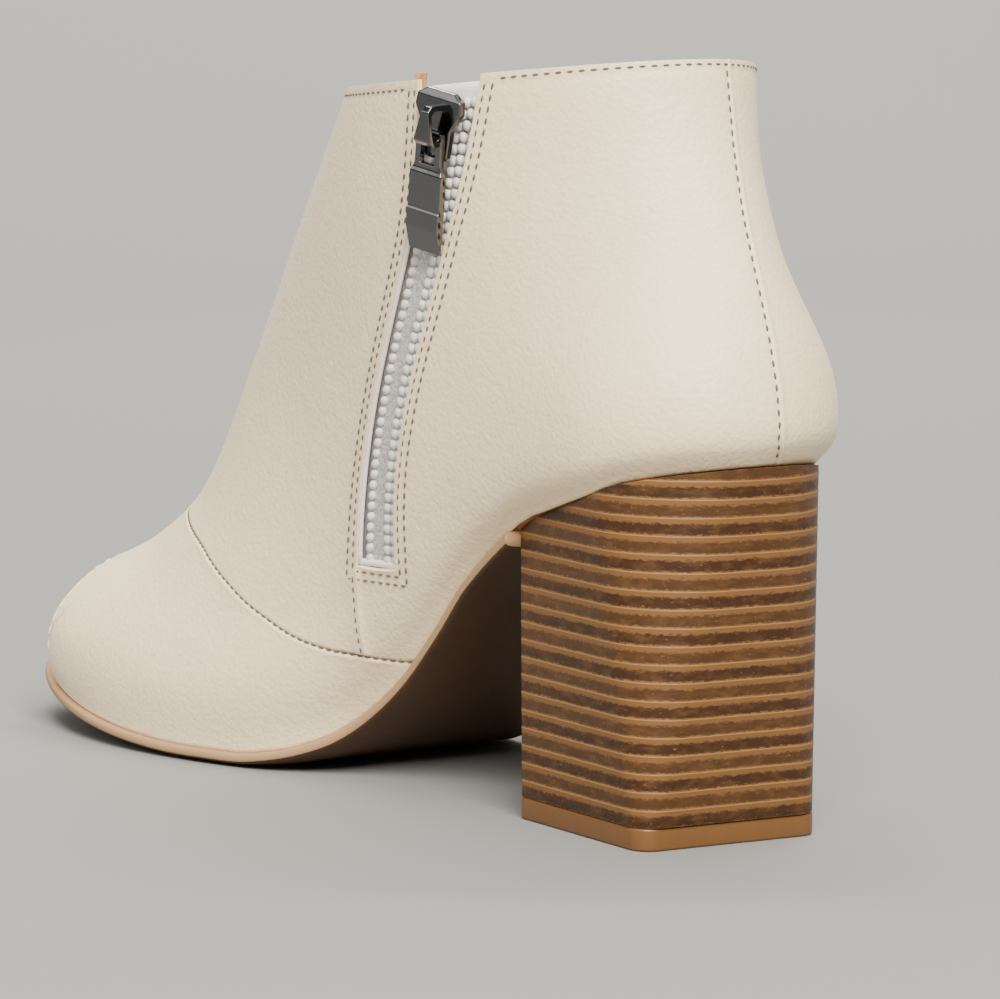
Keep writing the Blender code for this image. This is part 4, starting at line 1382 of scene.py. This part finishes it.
def make_loops(length):
    """Lines of the coil's loops, which part above the slider."""
    mesh = bmesh.new()
    open_from = 1 - PARTED_FROM / length
    for across, wide in BEAD_LINES:
        side = 1 if across > 0 else -1
        inset = (1.3 if abs(across) > 3 * MM else 3.3) * MM
        for bead in range(round((length - 4 * MM) / BEAD_PITCH)):
            share = (1.6 * MM + bead * BEAD_PITCH) / length
            parted = min(max((share - open_from) / (1 - open_from) * 2, 0.0), 1.0)
            aside = across * (1 - parted) + side * (slot_half(share) - inset) * parted
            centre = beside_zip(share, aside, TEETH_OUT + BEAD_OUT)
            ahead = beside_zip(share + 0.005, aside, TEETH_OUT + BEAD_OUT)
            station, rise = find_on_side(*zip_spot(share, aside))
            normal = last_normal(station, min(rise, 0.995))
            along = (ahead - centre).normalized()
            turn = Matrix((along, normal.cross(along), normal)).transposed().to_4x4()
            tilt = Matrix.Rotation(math.radians(BEAD_TILT * side), 4, "Z")
            size = Matrix.Diagonal((BEAD_PITCH * 0.50, wide, BEAD_DEPTH, 1.0))
            bmesh.ops.create_uvsphere(mesh, u_segments=8, v_segments=6, radius=1.0,
                                      matrix=Matrix.Translation(centre) @ turn @ tilt @ size)
    finish_piece("coil_loops", mesh, "zip coil")


def make_lining_tab():
    """Corner of the lining that stands above the rim in front of the zip."""
    def place(column, row):
        across = slot_half(1.0) - 0.6 * MM + 3.6 * MM * column / 12
        up = (-3.0 + 4.4 * row / 10) * MM
        return beside_zip(1 + up / zip_length(), across, -1.15 * MM + 0.25 * MM * math.sin(column * 0.7))

    mesh = sheet(12, 10, place)
    weld(mesh)
    face_out(mesh)
    thicken(finish_piece("lining_tab", mesh, "tan lining"), 0.7 * MM, 0.2 * MM)


def slider_frame():
    """Place of the slider: X across the zip toward the heel, Y up the zip, Z out of the shoe."""
    share = 1 - SLIDER_DROP / zip_length()
    reach = SLIDER_LENGTH / 2 / zip_length()
    middle = beside_zip(share, 0.0, 0.0)
    up = (beside_zip(share + reach, 0.0, 0.0) - beside_zip(share - reach, 0.0, 0.0)).normalized()
    station, rise = find_on_side(*zip_line(share))
    across = up.cross(last_normal(station, rise)).normalized()
    out = across.cross(up)
    turn = Matrix((across, up, out)).transposed().to_4x4()
    return Matrix.Translation(middle + out * SLIDER_STANDOFF) @ turn


def plate(name, columns, rows, empty, frame_at, body, stands_for, edge):
    """Metal plate of cells: a row has its place along, half width, and its back and front face."""
    mesh = bmesh.new()
    grid = [[mesh.verts.new((share * half, along, low)) for share in columns] for along, half, low, _ in rows]
    faces = []
    for row in range(len(rows) - 1):
        for column in range(len(columns) - 1):
            if (row, column) not in empty:
                faces.append(mesh.faces.new((grid[row][column], grid[row][column + 1],
                                             grid[row + 1][column + 1], grid[row + 1][column])))
    fronts = {round(along / (0.01 * MM)): high for along, _, _, high in rows}
    moved = bmesh.ops.extrude_face_region(mesh, geom=faces)
    for item in moved["geom"]:
        if isinstance(item, bmesh.types.BMVert):
            item.co.z = fronts[round(item.co.y / (0.01 * MM))]
    loose = [vertex for vertex in mesh.verts if not vertex.link_faces]
    bmesh.ops.delete(mesh, geom=loose, context="VERTS")
    bmesh.ops.recalc_face_normals(mesh, faces=mesh.faces)
    bmesh.ops.transform(mesh, matrix=frame_at, verts=mesh.verts)
    soften(finish_piece(name, mesh, "nickel", stands_for, body, False), edge, 12)


def make_crown(frame_at):
    """Arch on the slider, narrow at the top and wide at its foot, that holds the pull."""
    outer, band = CROWN_LENGTH / 2, CROWN_BAND
    inner = outer - band
    top, foot = SLIDER_THICKNESS + CROWN_HEIGHT, SLIDER_THICKNESS / 2
    shoulder = top * 0.8
    loop = ((-outer, foot), (-outer, shoulder), (-inner, top), (inner, top), (outer, shoulder), (outer, foot),
            (inner, foot), (inner, shoulder - band), (inner * 0.7, top - band), (-inner * 0.7, top - band),
            (-inner, shoulder - band), (-inner, foot))

    def place(column, row):
        along, out = loop[column % len(loop)]
        half = CROWN_WIDTH / 2 * (1.25 - 0.65 * along / outer)
        return Vector(((2 * row - 1) * half, along, out))

    mesh = sheet(len(loop), 1, place)
    bmesh.ops.remove_doubles(mesh, verts=mesh.verts, dist=0.001 * MM)
    close_up(mesh)
    bmesh.ops.transform(mesh, matrix=frame_at, verts=mesh.verts)
    soften(finish_piece("slider_crown", mesh, "nickel", smooth=False), 0.22 * MM, 20)


def make_hardware():
    """Slider with a waist and a shoulder, its crown, and the pull with its window and sloped lip."""
    frame_at = slider_frame()
    half, tail, wide = SLIDER_LENGTH / 2, SLIDER_TAIL_WIDTH / 2, SLIDER_WIDTH * 0.6
    thick = SLIDER_THICKNESS
    rows = ((-half, tail * 0.9, 0.0, thick * 0.7), (-half * 0.85, tail, 0.0, thick),
            (-half * 0.1, tail * 1.08, 0.0, thick), (half * 0.45, wide, 0.0, thick),
            (half * 0.8, wide * 0.95, 0.0, thick), (half, wide * 0.6, 0.0, thick * 0.6))
    plate("slider_body", (-1.0, -0.55, 0.0, 0.55, 1.0), rows, (), frame_at, "shoe", ("zip_slider",), 0.3 * MM)
    make_crown(frame_at)

    bar = PULL_THICKNESS
    ring, full, deep = PULL_FRAME_WIDTH / 2, PULL_WIDTH / 2, bar / 2
    plate_face, lip_face = deep + 0.25 * MM, deep + 0.45 * MM
    window = (PULL_FRAME_WIDTH - 2 * PULL_RAIL) / PULL_FRAME_WIDTH
    rows = ((deep, ring * 0.9, -deep, deep * 0.8), (-deep, ring, -deep, deep),
            (2 * bar - PULL_FRAME_LENGTH, ring, -deep, deep),
            (deep - PULL_PLATE_START, (ring + full) / 2, -deep, deep),
            (deep - PULL_PLATE_START - 0.9 * MM, full, -deep, plate_face),
            (deep - PULL_STEP_START, full, -deep, plate_face),
            (deep - PULL_STEP_START - 0.25 * MM, full, -deep, lip_face),
            (deep - PULL_LIP_START, full, -deep, lip_face),
            (deep - PULL_LENGTH, full * 0.97, -deep, -deep + 0.5 * MM))
    pivot = Vector((0.0, CROWN_BAND + bar / 2 - CROWN_LENGTH / 2 + GAP, SLIDER_THICKNESS + GAP + bar / 2))
    hung = frame_at @ Matrix.Translation(pivot) @ Matrix.Rotation(math.radians(PULL_REST), 4, "X")
    plate("pull_tab", (-1.0, -window, window, 1.0), rows, ((1, 1),), hung, "pull", ("zip_pull",), 0.22 * MM)


# Stage

def make_sweep():
    """Pale floor that bends up into a wall behind the shoe."""
    wires, shader, place = new_material("pale sweep", Roughness=0.85)
    shade = wires.noise(place, 3.0, 3.0)
    wires.put(wires.mix(shade, (0.235, 0.228, 0.214), (0.25, 0.243, 0.229)), shader["Base Color"])
    side = Vector((-VIEW.y, VIEW.x, 0.0))
    bend = SWEEP_RADIUS * math.pi / 2

    def place_sweep(column, row):
        across = (column / 40 - 0.5) * SWEEP_WIDTH
        run = row / 60 * (SWEEP_NEAR + SWEEP_FLAT + bend + SWEEP_TALL) - SWEEP_NEAR
        if run <= SWEEP_FLAT:
            ahead, height = run, 0.0
        elif run <= SWEEP_FLAT + bend:
            angle = (run - SWEEP_FLAT) / SWEEP_RADIUS
            ahead = SWEEP_FLAT + SWEEP_RADIUS * math.sin(angle)
            height = SWEEP_RADIUS * (1 - math.cos(angle))
        else:
            ahead, height = SWEEP_FLAT + SWEEP_RADIUS, SWEEP_RADIUS + run - SWEEP_FLAT - bend
        return VIEW * ahead + side * across + Vector((0.0, 0.0, height))

    sweep = new_object("studio_sweep", sheet(40, 60, place_sweep), "pale sweep")
    sweep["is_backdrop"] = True


def make_lights():
    """Faint blue surroundings and four soft lamps."""
    scene = bpy.context.scene
    world = bpy.data.worlds.new("studio")
    scene.world = world
    world.use_nodes = True
    background = world.node_tree.nodes["Background"]
    background.inputs["Color"].default_value = (0.93, 0.96, 1.0, 1.0)
    background.inputs["Strength"].default_value = 0.20
    for name, spot, aim, size, power in LAMPS:
        lamp = bpy.data.lights.new(name, "AREA")
        lamp.shape = "RECTANGLE"
        lamp.size, lamp.size_y = size
        lamp.energy = power
        lamp.color = (1.0, 0.98, 0.95)
        holder = bpy.data.objects.new(name, lamp)
        holder.location = spot
        holder.rotation_euler = (Vector(spot) - aim).to_track_quat("Z", "Y").to_euler()
        scene.collection.objects.link(holder)


def make_camera():
    """The photograph's camera, which looks down a little and is slightly rolled."""
    scene = bpy.context.scene
    az, el, tilt = (math.radians(value) for value in (CAMERA_AZIMUTH, CAMERA_ELEVATION, CAMERA_ROLL))
    back = Vector((math.sin(az) * math.cos(el), -math.cos(az) * math.cos(el), math.sin(el)))
    right = (-back).cross(Vector((0.0, 0.0, 1.0))).normalized()
    up = right.cross(-back)
    right, up = (right * math.cos(tilt) + up * math.sin(tilt), -right * math.sin(tilt) + up * math.cos(tilt))
    lens = bpy.data.cameras.new("camera")
    lens.lens = CAMERA_LENS
    lens.sensor_width = 36.0
    lens.sensor_fit = "HORIZONTAL"
    lens.clip_start = 0.01
    lens.clip_end = 50.0
    camera = bpy.data.objects.new("camera", lens)
    camera.matrix_world = Matrix.Translation(CAMERA_TARGET + back * CAMERA_DISTANCE) @ \
        Matrix((right, up, back)).transposed().to_4x4()
    scene.collection.objects.link(camera)
    scene.camera = camera


# Add-on

class BOOTIE_OT_materials(bpy.types.Operator):
    """Make the leather, lining, heel, sole, thread and zip finishes"""
    bl_idname = "bootie.materials"
    bl_label = "Materials"

    def execute(self, context):
        make_groups()
        materials()
        return {"FINISHED"}


class BOOTIE_OT_upper(bpy.types.Operator):
    """Make the vamp and quarters with their lining"""
    bl_idname = "bootie.upper"
    bl_label = "Upper"

    def execute(self, context):
        leather, lining = context.scene.bootie_sizes.leather, context.scene.bootie_sizes.lining
        inward = -(leather + 0.05 * MM)
        make_vamp("vamp", 0.0, leather, True)
        make_quarters("quarters", 0.0, leather, True)
        make_vamp("vamp_lining", inward, lining, False)
        make_quarters("quarter_lining", inward, lining, False, 1.2 * MM)
        return {"FINISHED"}


class BOOTIE_OT_stitches(bpy.types.Operator):
    """Sew the rows of stitches on the upper"""
    bl_idname = "bootie.stitches"
    bl_label = "Stitches"

    def execute(self, context):
        make_stitches()
        return {"FINISHED"}


class BOOTIE_OT_sole(bpy.types.Operator):
    """Make the sock lining and the sole"""
    bl_idname = "bootie.sole"
    bl_label = "Sole"

    def execute(self, context):
        make_insole()
        make_outsole()
        return {"FINISHED"}


class BOOTIE_OT_heel(bpy.types.Operator):
    """Make the stacked block and its top piece"""
    bl_idname = "bootie.heel"
    bl_label = "Heel"

    def execute(self, context):
        make_heel()
        make_heel_tip()
        return {"FINISHED"}


class BOOTIE_OT_zip(bpy.types.Operator):
    """Make the tape and coil of the zip, its slider and pull, and the lining beside them"""
    bl_idname = "bootie.zip"
    bl_label = "Zip"

    def execute(self, context):
        make_zip()
        make_lining_tab()
        make_hardware()
        return {"FINISHED"}


class BOOTIE_OT_stage(bpy.types.Operator):
    """Set up the studio sweep, the lights and the camera"""
    bl_idname = "bootie.stage"
    bl_label = "Stage"

    def execute(self, context):
        make_sweep()
        make_lights()
        make_camera()
        return {"FINISHED"}


OPERATORS = (BOOTIE_OT_materials, BOOTIE_OT_upper, BOOTIE_OT_stitches, BOOTIE_OT_sole, BOOTIE_OT_heel,
             BOOTIE_OT_zip, BOOTIE_OT_stage)


class BOOTIE_PT_pieces(bpy.types.Panel):
    """Sizes, colours and pieces of the bootie"""
    bl_label = "Bootie"
    bl_idname = "BOOTIE_PT_pieces"
    bl_space_type = "VIEW_3D"
    bl_region_type = "UI"
    bl_category = "Bootie"

    def draw(self, context):
        for group in (context.scene.bootie_sizes, context.scene.bootie_colours):
            column = self.layout.column()
            for label in group.__annotations__:
                column.prop(group, label)
        column = self.layout.column()
        for operator in OPERATORS:
            column.operator(operator.bl_idname)


CLASSES = (BootieSizes, BootieColours) + OPERATORS + (BOOTIE_PT_pieces,)


def register():
    """Register the classes and their settings."""
    for item in CLASSES:
        bpy.utils.register_class(item)
    bpy.types.Scene.bootie_sizes = bpy.props.PointerProperty(type=BootieSizes)
    bpy.types.Scene.bootie_colours = bpy.props.PointerProperty(type=BootieColours)


def unregister():
    """Remove the settings and the classes."""
    del bpy.types.Scene.bootie_colours
    del bpy.types.Scene.bootie_sizes
    for item in reversed(CLASSES):
        bpy.utils.unregister_class(item)


def corners(box):
    """A box's two corners as plain lists of numbers."""
    return [[float(value) for value in corner] for corner in box]


def main():
    """Make every piece."""
    before = corners(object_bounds())
    register()
    for operator in OPERATORS:
        group, name = operator.bl_idname.split(".")
        getattr(getattr(bpy.ops, group), name)()
    {"cad": before, "visual": corners(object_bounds())}


if __name__ == "__main__":
    main()
